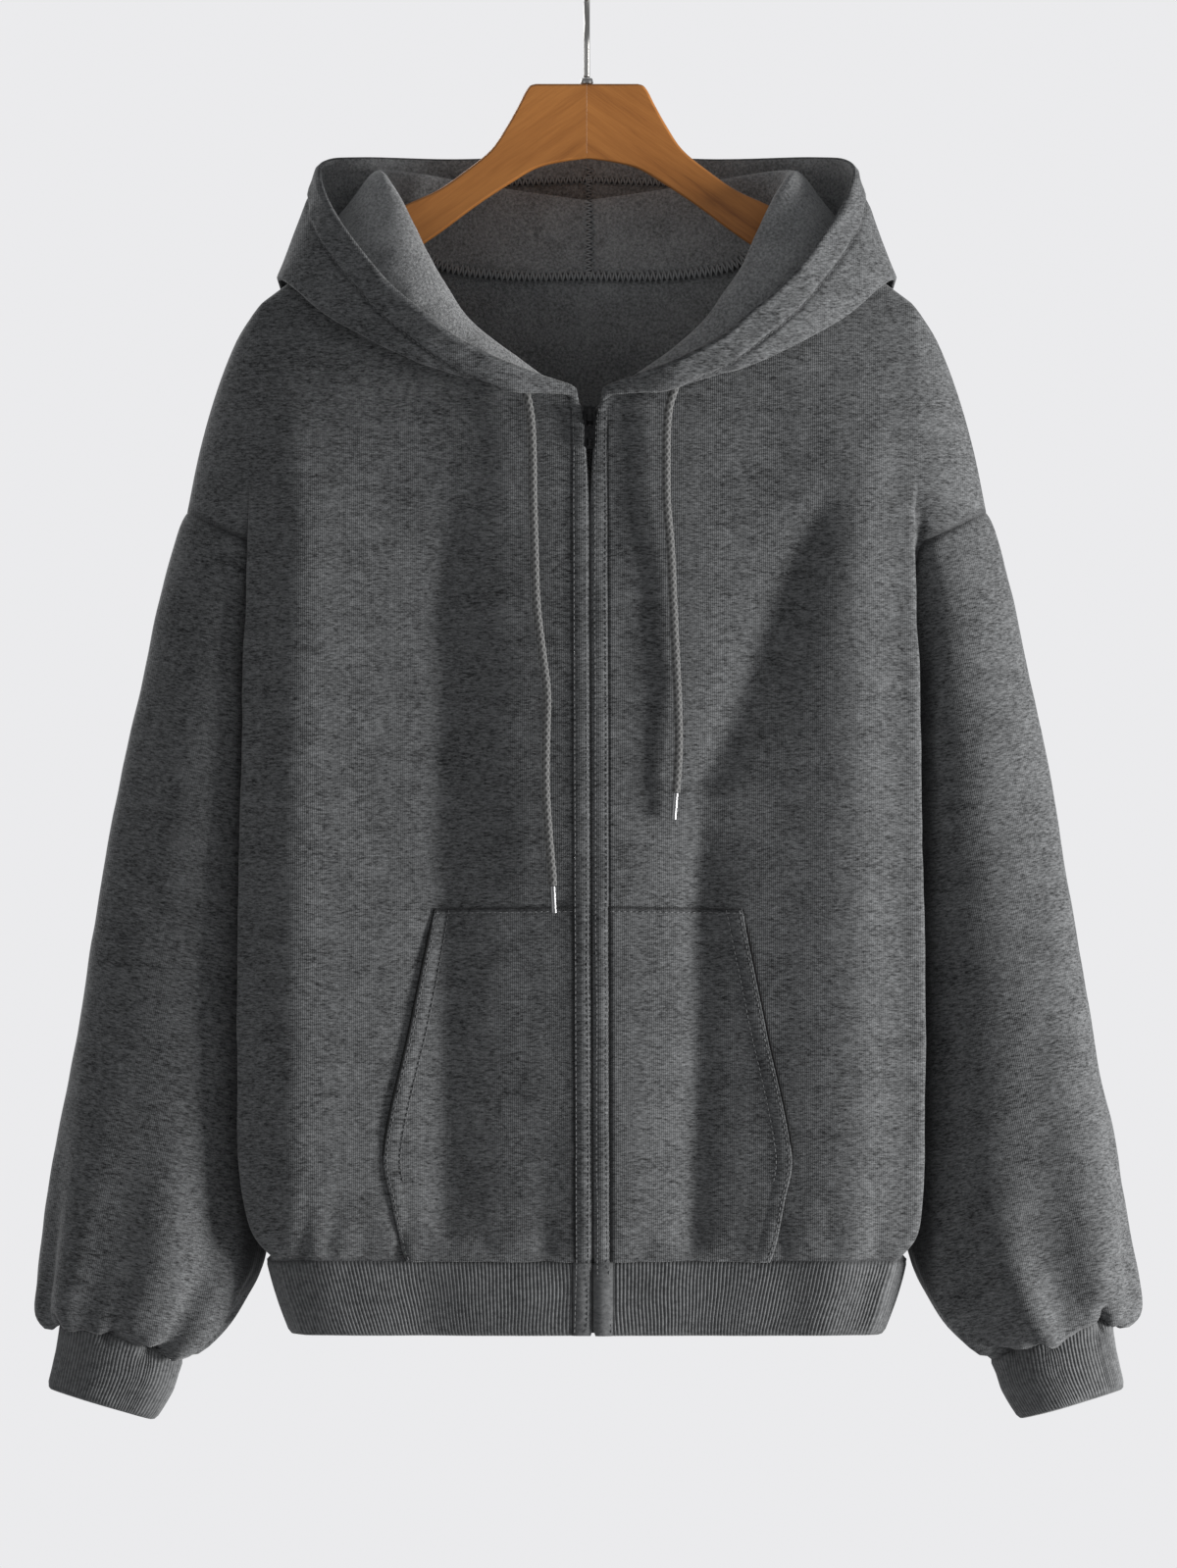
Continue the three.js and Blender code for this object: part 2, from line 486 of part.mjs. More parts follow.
// A closed wall whose outer side is ribbed: the ribs stand on the straight lines between the
// points of the grid, and the inner side stays plain
function ribbedWall({ grid, normals, closed = false, pitch, raise = () => 0 }) {
  const middle = drawnBack(grid, closed);
  const [rows, cols] = [grid.length, grid[0].length];
  const spans = closed ? cols : cols - 1;
  const points = [];
  const keep = (point) => points.push(point) - 1;
  const ribs = range(spans).map((j) => {
    const chord = grid[0][j].distanceTo(grid[0][(j + 1) % cols]);
    return 2 * Math.max(1, Math.round(chord / pitch));
  });
  const inner = range(rows).map((i) => range(cols).map((j) =>
    keep(middle[i][j].clone().addScaledVector(normals[i][j], -CLOTH / 2))));
  const outer = range(rows).map((i) => range(spans).map((j) => range(ribs[j]).map((k) => {
    const [t, next] = [k / ribs[j], (j + 1) % cols];
    const normal = between(normals[i][j], normals[i][next], t);
    const lift = CLOTH / 2 + mix(raise(i, j), raise(i, next), t) + (k % 2 ? RIB_HEIGHT : 0);
    return keep(between(middle[i][j], middle[i][next], t).addScaledVector(normal, lift));
  })));
  const ends = closed ? null : range(rows).map((i) => keep(middle[i][cols - 1].clone()
    .addScaledVector(normals[i][cols - 1], CLOTH / 2 + raise(i, cols - 1))));
  const after = (i, j) => (j + 1 < spans ? outer[i][j + 1][0] : closed ? outer[i][0][0] : ends[i]);
  const outerLine = (i, j) => [...outer[i][j], after(i, j)];
  const triangles = [];
  const quad = (a, b, c, d) => triangles.push([a, b, c], [a, c, d]);
  range(spans).forEach((j) => {
    const next = (j + 1) % cols;
    range(rows - 1).forEach((i) => {
      const [top, low] = [outerLine(i, j), outerLine(i + 1, j)];
      range(ribs[j]).forEach((k) => quad(top[k], top[k + 1], low[k + 1], low[k]));
      quad(inner[i][j], inner[i + 1][j], inner[i + 1][next], inner[i][next]);
    });
    [[0, true], [rows - 1, false]].forEach(([i, flip]) => {
      const line = outerLine(i, j);
      const half = ribs[j] / 2;
      const fan = range(ribs[j]).map((k) => [inner[i][k < half ? j : next], line[k + 1], line[k]]);
      fan.push([inner[i][j], inner[i][next], line[half]]);
      fan.forEach(([a, b, c]) => triangles.push(flip ? [a, b, c] : [a, c, b]));
    });
  });
  if (!closed) {
    range(rows - 1).forEach((i) => {
      quad(outer[i][0][0], outer[i + 1][0][0], inner[i + 1][0], inner[i][0]);
      quad(ends[i], inner[i][cols - 1], inner[i + 1][cols - 1], ends[i + 1]);
    });
  }
  return solidFrom(points, triangles);
}

// Body, sleeves, hood and band as grids
const front = { [LEFT]: placeGrid(LEFT, frontGrid(LEFT)), [RIGHT]: placeGrid(RIGHT, frontGrid(RIGHT)) };
const plainFront = { [LEFT]: frontGrid(LEFT), [RIGHT]: frontGrid(RIGHT) };
const plainBack = backHalf();
const mirrored = (points) => points.map((point) => place(RIGHT, point));
const back = plainBack.map((row) => [...mirrored(row.slice(1)).reverse(), ...row.map((p) => place(LEFT, p))]);

const group = new THREE.Group();
function add(name, geometry, material) {
  const mesh = new THREE.Mesh(geometry, material);
  mesh.name = name;
  group.add(mesh);
}

const pieces = {};
function piece(name, grid, closed, probe, direction) {
  const normals = gridNormals(grid, closed, probe, direction);
  pieces[name] = { grid, normals, closed, seams: rimOf(grid, closed) };
}

const FORWARD = new THREE.Vector3(0, -1, 0);
const BACKWARD = new THREE.Vector3(0, 1, 0);
const sideNames = [[LEFT, 'left'], [RIGHT, 'right']];

piece('back', back, false, [9, 4], BACKWARD);
sideNames.forEach(([side, word]) => {
  const sleeve = sleeveGrid(plainFront[side], plainBack);
  const cuff = cuffGrid(sleeve);
  const hood = hoodGrid(plainFront[side], plainBack);
  piece(`front_${word}`, front[side], false, [12, 5], FORWARD);
  piece(`sleeve_${word}`, placeGrid(side, sleeve), true, [8, 4], FORWARD);
  piece(`cuff_${word}`, placeGrid(side, cuff), true, [1, 6], FORWARD);
  piece(`hood_${word}`, placeGrid(side, hood), false, [4, 12], FORWARD);
});

// The hem band runs from the zip round the back to the zip
const bandTop = [
  ...front[LEFT][HEM_ROW],
  ...back[back.length - 1].slice(1, -1).reverse(),
  ...front[RIGHT][HEM_ROW].slice().reverse(),
];
const BAND_NARROWING = 0.925;
const bandBottom = bandTop.map((point) => {
  const drift = 4 * clamp01(1 - Math.abs(point.x) / 150) * clamp01(-point.y / 34);
  const x = (point.x - drift) * mix(1, BAND_NARROWING, smooth((Math.abs(point.x) - 20) / 100)) + drift;
  return new THREE.Vector3(x, point.y * 0.9, HANGER_TOP + BAND_BOTTOM_UP);
});
piece('hem_band', [bandTop, bandBottom], false, [0, 4], FORWARD);

shareSeamNormals(Object.values(pieces));

// Seam points that only one piece has lie on straight lines between shared ones, and take their
// normals from them
function fillNormal(normals, [i, j], before, after, t) {
  const [from, to] = [normals[before[0]][before[1]], normals[after[0]][after[1]]];
  normals[i][j].copy(between(from, to, t)).normalize();
}
sideNames.forEach(([, word]) => {
  const shoulder = pieces[`front_${word}`].normals;
  const shares = frontShares(FRONT_ROWS[0], 0);
  [[1, 0, 3], [2, 0, 3], [4, 3, 5], [6, 5, 7], [8, 7, 9]].forEach(([j, from, to]) => {
    const t = (shares[j] - shares[from]) / (shares[to] - shares[from]);
    fillNormal(shoulder, [0, j], [0, from], [0, to], t);
  });
  const neck = pieces[`hood_${word}`].normals;
  range((neck.length - 1) / 2).forEach((k) =>
    fillNormal(neck, [2 * k + 1, 0], [2 * k, 0], [2 * k + 2, 0], 0.5));
});

// The zip edge of each front is turned under and stitched, which raises a narrow strip
const facingRaise = (i, j) => {
  if (j > 1 || i < NECK_ROW) return 0;
  return i < POCKET_TOP_ROW - 1 ? FACING_RAISE : FACING_RAISE_ON_POCKET;
};
sideNames.forEach(([, word]) => {
  add(`front_${word}`, wall({ ...pieces[`front_${word}`], raise: facingRaise }), clothFinish());
});
add('back', wall(pieces.back), clothFinish());
sideNames.forEach(([, word]) => {
  add(`sleeve_${word}`, wall(pieces[`sleeve_${word}`]), clothFinish());
  add(`cuff_${word}`, ribbedWall({ ...pieces[`cuff_${word}`], pitch: CUFF_RIB_PITCH }), ribFinish());
});
const bandLast = bandTop.length - 1;
const bandRaise = (i, j) => (j <= 1 || j >= bandLast - 1 ? FACING_RAISE_ON_POCKET - 1 : 0);
add('hem_band', ribbedWall({ ...pieces.hem_band, pitch: RIB_PITCH, raise: bandRaise }), ribFinish());
const hoodLast = pieces.hood_left.grid[0].length - 1;
const hoodRaise = (i, j) => (j >= hoodLast - 1 && i > 1 ? HOOD_HEM : 0);
sideNames.forEach(([, word]) => {
  add(`hood_${word}`, wall({ ...pieces[`hood_${word}`], raise: hoodRaise }), clothFinish());
});

// Points of a piece, moved out along their normals
function moved(item, rows, cols, distance) {
  const pick = (from) => rows.map((i) => cols.map((j) => from[i][j].clone()));
  const normals = pick(item.normals);
  const grid = pick(item.grid).map((row, i) => row.map((point, j) =>
    point.addScaledVector(normals[i][j], distance(i, j))));
  return { grid, normals };
}

// Pockets lie on the fronts, and their slanted openings stand off a little
const OPENING_STAND = 1.4;
sideNames.forEach(([, word]) => {
  const rows = range(HEM_ROW - POCKET_TOP_ROW + 1).map((k) => POCKET_TOP_ROW + k);
  const cols = range(POCKET_COLUMN - 1).map((k) => k + 2);
  const middle = CLOTH / 2 + SEAM_GAP + POCKET_CLOTH / 2;
  const openRows = POCKET_KINK_ROW - POCKET_TOP_ROW;
  const atOpening = (i, j) => j === cols.length - 1 && i > 0 && i < openRows;
  const distance = (i, j) => middle + (atOpening(i, j) ? OPENING_STAND : 0);
  const layer = moved(pieces[`front_${word}`], rows, cols, distance);
  add(`pocket_${word}`, wall({ ...layer, thickness: POCKET_CLOTH }), clothFinish());
});

// Zip tapes and the closed teeth, behind the edges of the fronts
const TAPE = 1;
const TEETH = 2.2;
const TAPE_TOP_UP = -203;
const TEETH_TOP_UP = -213;
const zipRows = range(HEM_ROW - NECK_ROW).map((k) => NECK_ROW + 1 + k);
const bandBehind = bandBottom[0].y + CLOTH / 2 + SEAM_GAP;
// Where the middle of the zip is at a height
const ZIP_Y = -39;
const zipX = (z) => place(LEFT, new THREE.Vector3(0, ZIP_Y, z)).x;
sideNames.forEach(([side, word]) => {
  const item = pieces[`front_${word}`];
  const behind = -(CLOTH / 2 + SEAM_GAP + TAPE / 2);
  const strip = moved(item, zipRows, [0, 1], () => behind);
  const foot = strip.grid[strip.grid.length - 1].map((point) => point.clone());
  foot.forEach((point) => point.set(point.x, bandBehind + TAPE / 2, HANGER_TOP + BAND_BOTTOM_UP));
  const top = strip.grid[0].map((point) =>
    new THREE.Vector3(point.x, point.y + 0.3, HANGER_TOP + TAPE_TOP_UP));
  const grid = [top, ...strip.grid, foot];
  grid.forEach((row) => {
    row[0].x = zipX(row[0].z) + side * (ZIP_TEETH_HALF + SEAM_GAP);
    row[1].x = zipX(row[1].z) + side * (FACING_WIDTH + 1);
  });
  const normals = grid.map((row) => row.map(() => FORWARD.clone()));
  add(`zip_tape_${word}`, wall({ grid, normals, thickness: TAPE }), tapeFinish());
});
{
  const line = zipRows.map((i) => front[LEFT][i][0]);
  const behind = CLOTH / 2 + SEAM_GAP + TEETH / 2;
  const foot = new THREE.Vector3(0, bandBehind + TEETH / 2 - behind, HANGER_TOP + BAND_BOTTOM_UP);
  const start = new THREE.Vector3(0, -38.8, HANGER_TOP + TEETH_TOP_UP);
  const grid = [start, ...line, foot].map((point) => [-1, 1].map((end) =>
    new THREE.Vector3(zipX(point.z) + end * ZIP_TEETH_HALF, point.y + behind, point.z)));
  const normals = grid.map((row) => row.map(() => FORWARD.clone()));
  add('zip_teeth', wall({ grid, normals, thickness: TEETH }), darkMetalFinish());
}

// Slider with its bridge, joined into one solid, and the pull tab that hangs from the bridge
const wasm = await Module();
wasm.setup();
function toManifold(geometry) {
  const bare = geometry.clone();
  bare.deleteAttribute('normal');
  bare.deleteAttribute('uv');
  const merged = mergeVertices(bare);
  return new wasm.Manifold(new wasm.Mesh({
    numProp: 3,
    vertProperties: new Float32Array(merged.attributes.position.array),
    triVerts: new Uint32Array(merged.index.array),
  }));
}
function fromManifold(solid) {
  const mesh = solid.getMesh();
  const geometry = new THREE.BufferGeometry();
  geometry.setAttribute('position', new THREE.Float32BufferAttribute(mesh.vertProperties, 3));
  geometry.setIndex([...mesh.triVerts]);
  geometry.computeVertexNormals();
  return geometry;
}
const ZIP_TOP_X = zipX(HANGER_TOP - 205);
const SLIDER = { half: 3.8, top: -200.5, bottom: -211.5, back: -37.7, front: -42.9 };
const BRIDGE = { half: 1.2, top: -201, bottom: -209.4, front: -46.8, bar: 1 };
const PULL = { half: 3.5, length: 23, axisUp: -204.2, y: -44.4, thickness: 1.2, bar: 1.3 };

function outline(points) {
  return new THREE.Shape(points.map(([a, b]) => new THREE.Vector2(a, b)));
}
// A shape drawn in depth and height, made wide across X
function acrossX(shape, width) {
  const geometry = new THREE.ExtrudeGeometry(shape, { depth: width, bevelEnabled: false });
  geometry.rotateX(Math.PI / 2).rotateZ(Math.PI / 2);
  return geometry.translate(ZIP_TOP_X - width / 2, 0, HANGER_TOP);
}
{
  const { half, top, bottom, back: rear, front: face } = SLIDER;
  const plate = acrossX(outline([
    [rear, top - 1], [rear - 1, top], [face + 1.4, top], [face, top - 1.6],
    [face, bottom + 2.4], [face + 1.6, bottom], [rear - 1, bottom], [rear, bottom + 1],
  ]), 2 * half);
  const arch = outline([
    [face + 0.8, BRIDGE.top], [BRIDGE.front + 1, BRIDGE.top], [BRIDGE.front, BRIDGE.top - 1],
    [BRIDGE.front, BRIDGE.bottom + 1], [BRIDGE.front + 1, BRIDGE.bottom], [face + 0.8, BRIDGE.bottom],
    [face + 0.8, BRIDGE.bottom + BRIDGE.bar], [BRIDGE.front + BRIDGE.bar, BRIDGE.bottom + BRIDGE.bar],
    [BRIDGE.front + BRIDGE.bar, BRIDGE.top - BRIDGE.bar], [face + 0.8, BRIDGE.top - BRIDGE.bar],
  ]);
  const slider = toManifold(plate).add(toManifold(acrossX(arch, 2 * BRIDGE.half)));
  add('zip_slider', fromManifold(slider), darkMetalFinish());
}
{
  const { half, length, axisUp, y, thickness, bar } = PULL;
  const top = axisUp + bar / 2;
  const bottom = top - length;
  const corner = 1.6;
  const shape = outline([
    [-half + corner, bottom], [half - corner, bottom], [half, bottom + corner], [half, top - corner],
    [half - corner, top], [-half + corner, top], [-half, top - corner], [-half, bottom + corner],
  ]);
  const hole = (wide, high, low) => new THREE.Path([
    [-wide, high], [-wide, low], [wide, low], [wide, high],
  ].map(([a, b]) => new THREE.Vector2(a, b)));
  shape.holes.push(hole(2.2, top - bar, top - 8.6), hole(1.9, bottom + 6.2, bottom + 1.8));
  const tab = new THREE.ExtrudeGeometry(shape, { depth: thickness, bevelEnabled: false });
  tab.rotateX(Math.PI / 2).translate(ZIP_TOP_X, y + thickness / 2, HANGER_TOP);
  add('zip_pull_tab', tab, darkMetalFinish());
}

// Drawcord: the two free ends that hang from the hood's hem, with their metal tips
const CORD_ROUTES = {
  right: table('x up y', [
    [-40.5, -185.5, -43.8], [-38.5, -190, -44.6], [-36.5, -196, -46.6], [-34.5, -208, -46.8],
    [-33.5, -226, -46.6], [-33, -260, -46.4], [-32, -294, -46.2], [-31, -322, -46],
    [-27.5, -352, -46.4], [-24.5, -378, -46.8], [-25, -401, -46.8], [-25.3, -434, -46.6],
    [-23.5, -464, -46.8], [-21.2, -490, -47.2], [-20.9, -495.5, -47.4],
  ]),
  left: table('x up y', [
    [55, -187, -40.5], [52.8, -193, -43.8], [50.8, -200, -46.2], [49.4, -212, -46.2],
    [49, -232, -46], [49.3, -260, -45.8], [51.5, -286, -45.4], [53, -318, -45],
    [54.6, -352, -44.8], [56, -382, -44.6], [56.6, -410, -44.4], [55.2, -434, -44.4],
    [54.9, -438, -44.4],
  ]),
};
function roundBar(route, diameter, sides, steps) {
  const ring = range(sides).map((k) => {
    const angle = (2 * Math.PI * k) / sides;
    return new THREE.Vector2((diameter / 2) * Math.cos(angle), (diameter / 2) * Math.sin(angle));
  });
  const options = { steps, bevelEnabled: false, extrudePath: route };
  return new THREE.ExtrudeGeometry(new THREE.Shape(ring), options);
}
Object.entries(CORD_ROUTES).forEach(([word, rows]) => {
  const points = rows.map((row) => new THREE.Vector3(row.x, row.y, HANGER_TOP + row.up));
  const route = new THREE.CatmullRomCurve3(points, false, 'centripetal');
  const steps = Math.round(route.getLength() / (2.5 * CORD_DIAMETER));
  add(`drawcord_${word}`, roundBar(route, CORD_DIAMETER, 8, steps), cordFinish());
  const direction = route.getTangent(1);
  const tipTop = points[points.length - 1].clone().addScaledVector(direction, SEAM_GAP);
  const tipEnd = tipTop.clone().addScaledVector(direction, TIP_LENGTH);
  const radius = TIP_DIAMETER / 2;
  const profile = [
    [0, 0], [radius - 0.3, 0], [radius, 1], [radius, TIP_LENGTH - 1.5],
    [radius - 0.5, TIP_LENGTH], [0, TIP_LENGTH],
  ].map(([r, along]) => new THREE.Vector2(r, along));
  const tip = new THREE.LatheGeometry(profile, 10);
  const up = direction.clone().negate();
  tip.applyQuaternion(new THREE.Quaternion().setFromUnitVectors(new THREE.Vector3(0, 1, 0), up));
  tip.translate(tipEnd.x, tipEnd.y, tipEnd.z);
  add(`cord_tip_${word}`, tip, steelFinish());
});

// Hanger: two flat wooden arms that meet in the middle, under the shoulders
const ARM_TOP = [
  [0, 0], [34, 0], [37, -3], [42, -13], [49, -25.5], [59, -40.5], [76, -54.5], [92, -65.5],
  [118, -78], [150, -101.8], [185, -128], [195, -137],
];
const ARM_LOW = [
  [198.5, -145], [196.5, -154], [188, -157], [160, -140], [130, -119.5], [103, -100.5],
  [88, -90], [76, -81], [65, -73], [47, -61.3], [31, -52], [15, -48], [0, -46],
];
const ARM_ROUNDING = { thickness: 3, size: 2.4 };
function hangerArm(side) {
  const points = [...ARM_TOP, ...ARM_LOW].map(([out, up]) => [side * out, up]);
  const shape = outline(side > 0 ? points.reverse() : points);
  const core = HANGER_THICKNESS - 2 * ARM_ROUNDING.thickness;
  const arm = new THREE.ExtrudeGeometry(shape, {
    depth: core,
    bevelThickness: ARM_ROUNDING.thickness,
    bevelSize: ARM_ROUNDING.size,
    bevelOffset: -ARM_ROUNDING.size,
    bevelSegments: 2,
  });
  return arm.rotateX(Math.PI / 2).translate(side * SEAM_GAP / 2, core / 2, HANGER_TOP);
}
sideNames.forEach(([side, word]) => add(`hanger_arm_${word}`, hangerArm(side), woodFinish()));

// Hook: a round loop of wire seen edge-on from the front, a small bend back, and a straight stem
const FERRULE_HEIGHT = 3.5;
const BEND_RADIUS = 12;
const TIP_ANGLE = -15;
{
  const loop = HOOK_INNER_RADIUS + HOOK_WIRE / 2;
  const centreZ = -HOOK_INNER_RADIUS;
  const leave = Math.acos(BEND_RADIUS / (loop + BEND_RADIUS));
  const bendZ = centreZ - (loop + BEND_RADIUS) * Math.sin(leave);
  const onCircle = (radius, angle, y, z) =>
    new THREE.Vector3(0, y + radius * Math.cos(angle), z + radius * Math.sin(angle));
  const from = THREE.MathUtils.degToRad(180 - TIP_ANGLE);
  const points = [
    ...range(23).map((k) => onCircle(loop, mix(from, -leave, k / 22), 0, centreZ)),
    ...range(4).map((k) =>
      onCircle(BEND_RADIUS, mix(Math.PI - leave, Math.PI, (k + 1) / 4), BEND_RADIUS, bendZ)),
  ];
  const stemEnd = HANGER_TOP + SEAM_GAP + FERRULE_HEIGHT + SEAM_GAP;
  [0.3, 0.65, 1].forEach((t) => points.push(new THREE.Vector3(0, 0, mix(bendZ, stemEnd, t))));
  const route = new THREE.CatmullRomCurve3(points, false, 'centripetal');
  add('hanger_hook', roundBar(route, HOOK_WIRE, 8, 38), steelFinish());
  const ferrule = new THREE.CylinderGeometry(3.4, 4, FERRULE_HEIGHT, 16);
  ferrule.rotateX(Math.PI / 2).translate(0, 0, HANGER_TOP + SEAM_GAP + FERRULE_HEIGHT / 2);
  add('hook_ferrule', ferrule, steelFinish());
}

export default group;
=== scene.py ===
# %% [markdown]
# A zip-up hoodie hung on a wooden hanger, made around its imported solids.
# Everything is in the solids' own frame: +Z is up, the front faces -Y, the wearer's left is +X,
# and the origin is the inside top of the hook. The tables are in millimetres and become metres
# when a mesh is made. In them "out" is the distance from the middle line, "up" the height above
# the hanger's top (negative is lower) and "y" the depth, as in the part's own source.

# %% The frame
import math

import bpy
import numpy as np
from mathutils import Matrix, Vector, noise


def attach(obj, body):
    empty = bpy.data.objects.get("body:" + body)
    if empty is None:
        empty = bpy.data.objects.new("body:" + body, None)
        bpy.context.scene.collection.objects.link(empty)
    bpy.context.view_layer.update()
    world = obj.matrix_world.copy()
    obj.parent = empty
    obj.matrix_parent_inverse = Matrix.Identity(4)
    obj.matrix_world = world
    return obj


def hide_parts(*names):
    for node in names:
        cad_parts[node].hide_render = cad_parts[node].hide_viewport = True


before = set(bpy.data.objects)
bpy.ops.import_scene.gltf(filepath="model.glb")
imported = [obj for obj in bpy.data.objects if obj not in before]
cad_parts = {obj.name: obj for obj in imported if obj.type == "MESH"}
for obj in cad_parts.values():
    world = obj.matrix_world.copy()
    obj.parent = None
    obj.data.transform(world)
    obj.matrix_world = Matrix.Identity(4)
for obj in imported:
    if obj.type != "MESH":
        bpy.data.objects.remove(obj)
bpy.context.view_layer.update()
MM = 0.001
HANGER_TOP = -75.0
LEFT, RIGHT = 1, -1
SIDES = ((LEFT, "left"), (RIGHT, "right"))

# %% [markdown]
# The camera looks level and straight on, from far enough away that near and far cloth keep
# nearly one scale, as in a catalogue picture. The frame is taken to be 1200 by 1599. The height
# that the view takes in at the garment sets the focal length.

# %% Camera
VIEW_DISTANCE = 9.0
VIEW_DEPTH = -0.012
VIEW_HEIGHT = 0.969
VIEW_CENTRE = (0.0011, -0.5080)
SENSOR = 36.0

camera_data = bpy.data.cameras.new("studio_camera")
camera_data.sensor_fit = "VERTICAL"
camera_data.sensor_height = SENSOR
camera_data.lens = SENSOR * VIEW_DISTANCE / VIEW_HEIGHT
camera_data.clip_end = 50
camera = bpy.data.objects.new("studio_camera", camera_data)
bpy.context.scene.collection.objects.link(camera)
camera.location = (VIEW_CENTRE[0], VIEW_DEPTH - VIEW_DISTANCE, VIEW_CENTRE[1])
camera.rotation_euler = (math.pi / 2, 0, 0)
bpy.context.scene.camera = camera
print("lens", round(camera_data.lens, 1), "mm")

# %% [markdown]
# A few helpers come first. A table is a set of named columns, and it can be read between its
# rows along a smooth curve, so a few rows of sizes are enough for a fine mesh.

# %% Numbers and tables


def mix(a, b, t):
    return a + (b - a) * t


def clamp01(t):
    return np.clip(t, 0.0, 1.0)


def smooth(t):
    t = clamp01(t)
    return t * t * (3 - 2 * t)


def spot(out, up, y):
    return np.stack(np.broadcast_arrays(out, y, HANGER_TOP + np.asarray(up, float)), -1).astype(float)


def table(names, rows):
    return dict(zip(names.split(), np.array(rows, float).T))


def read(rows, name, at, key=None):
    """A column of a table at any places along its first column, or along its row numbers."""
    y = rows[name]
    x = rows[key] if key else np.arange(len(y), dtype=float)
    if x[-1] < x[0]:
        x, y = x[::-1], y[::-1]
    slope = np.empty_like(y)
    slope[1:-1] = (y[2:] - y[:-2]) / (x[2:] - x[:-2])
    slope[0], slope[-1] = (y[1] - y[0]) / (x[1] - x[0]), (y[-1] - y[-2]) / (x[-1] - x[-2])
    at = np.clip(np.asarray(at, float), x[0], x[-1])
    i = np.clip(np.searchsorted(x, at, side="right") - 1, 0, len(x) - 2)
    h = x[i + 1] - x[i]
    t = (at - x[i]) / h
    t2, t3 = t * t, t * t * t
    return ((2 * t3 - 3 * t2 + 1) * y[i] + (t3 - 2 * t2 + t) * h * slope[i]
            + (3 * t2 - 2 * t3) * y[i + 1] + (t3 - t2) * h * slope[i + 1])


def place(side, points):
    """Puts a half's points on its side. The zip hangs a little to the left, and the front with it."""
    out, y, z = points[..., 0], points[..., 1], points[..., 2]
    drift = mix(1.8, 4.0, clamp01(-(z - HANGER_TOP + 200) / 550))
    share = clamp01(-y / 34) * clamp01(1 - np.abs(out) / 150)
    return np.stack((side * out + drift * share, y, z), -1)


# %% [markdown]
# The drawcord's two free ends hang from under the hood's front edges. A cord is a round braid,
# so its mesh is a tube whose surface rises where the strands cross: two sets of strands wind
# round it in opposite ways. The routes are the same points as in the solids.

# %% The cords' routes
CORD_DIAMETER = 5.0
CORD_ROUTES = {
    "right": table("x up y", [
        [-40.5, -185.5, -43.8], [-38.5, -190, -44.6], [-36.5, -196, -46.6], [-34.5, -208, -46.8],
        [-33.5, -226, -46.6], [-33, -260, -46.4], [-32, -294, -46.2], [-31, -322, -46],
        [-27.5, -352, -46.4], [-24.5, -378, -46.8], [-25, -401, -46.8], [-25.3, -434, -46.6],
        [-23.5, -464, -46.8], [-21.2, -490, -47.2], [-20.9, -495.5, -47.4]]),
    "left": table("x up y", [
        [55, -187, -40.5], [52.8, -193, -43.8], [50.8, -200, -46.2], [49.4, -212, -46.2],
        [49, -232, -46], [49.3, -260, -45.8], [51.5, -286, -45.4], [53, -318, -45],
        [54.6, -352, -44.8], [56, -382, -44.6], [56.6, -410, -44.4], [55.2, -434, -44.4],
        [54.9, -438, -44.4]]),
}


def knotted_curve(knots, per_span):
    """A smooth curve through points, with steps between each two of them, as the solids have it."""
    knots = np.asarray(knots, float)
    ends = np.vstack([2 * knots[0] - knots[1], knots, 2 * knots[-1] - knots[-2]])
    steps = per_span if hasattr(per_span, "__len__") else [per_span] * (len(knots) - 1)
    found = []
    for s, count in enumerate(steps):
        p0, p1, p2, p3 = ends[s:s + 4]
        d0, d1, d2 = (max(1e-4, np.linalg.norm(b - a) ** 0.5) for a, b in ((p0, p1), (p1, p2), (p2, p3)))
        m1 = ((p1 - p0) / d0 - (p2 - p0) / (d0 + d1) + (p2 - p1) / d1) * d1
        m2 = ((p2 - p1) / d1 - (p3 - p1) / (d1 + d2) + (p3 - p2) / d2) * d1
        last = s == len(steps) - 1
        t = np.linspace(0, 1, count + 1)[:, None][: None if last else -1]
        t2, t3 = t * t, t * t * t
        found.append((2 * t3 - 3 * t2 + 1) * p1 + (t3 - 2 * t2 + t) * m1
                     + (3 * t2 - 2 * t3) * p2 + (t3 - t2) * m2)
    return np.vstack(found)


def run_length(line):
    return np.concatenate([[0], np.cumsum(np.linalg.norm(np.diff(line, axis=0), axis=1))])


def evenly(line, step):
    """The same line with points an even step apart."""
    along = run_length(line)
    count = max(2, int(round(along[-1] / step)) + 1)
    at = np.linspace(0, along[-1], count)
    return np.stack([np.interp(at, along, line[:, k]) for k in range(3)], -1)


def cord_line(word):
    rows = CORD_ROUTES[word]
    return knotted_curve(np.stack([rows["x"], rows["y"], HANGER_TOP + rows["up"]], -1), 12)


for word in CORD_ROUTES:
    print("cord", word, round(run_length(cord_line(word))[-1]), "mm")

# %% [markdown]
# Meshes are made from grids. A grid of points gives quads between neighbours, and a grid can be
# closed into a tube. A moving frame along a line lets a round section follow it without twist.

# %% Mesh helpers


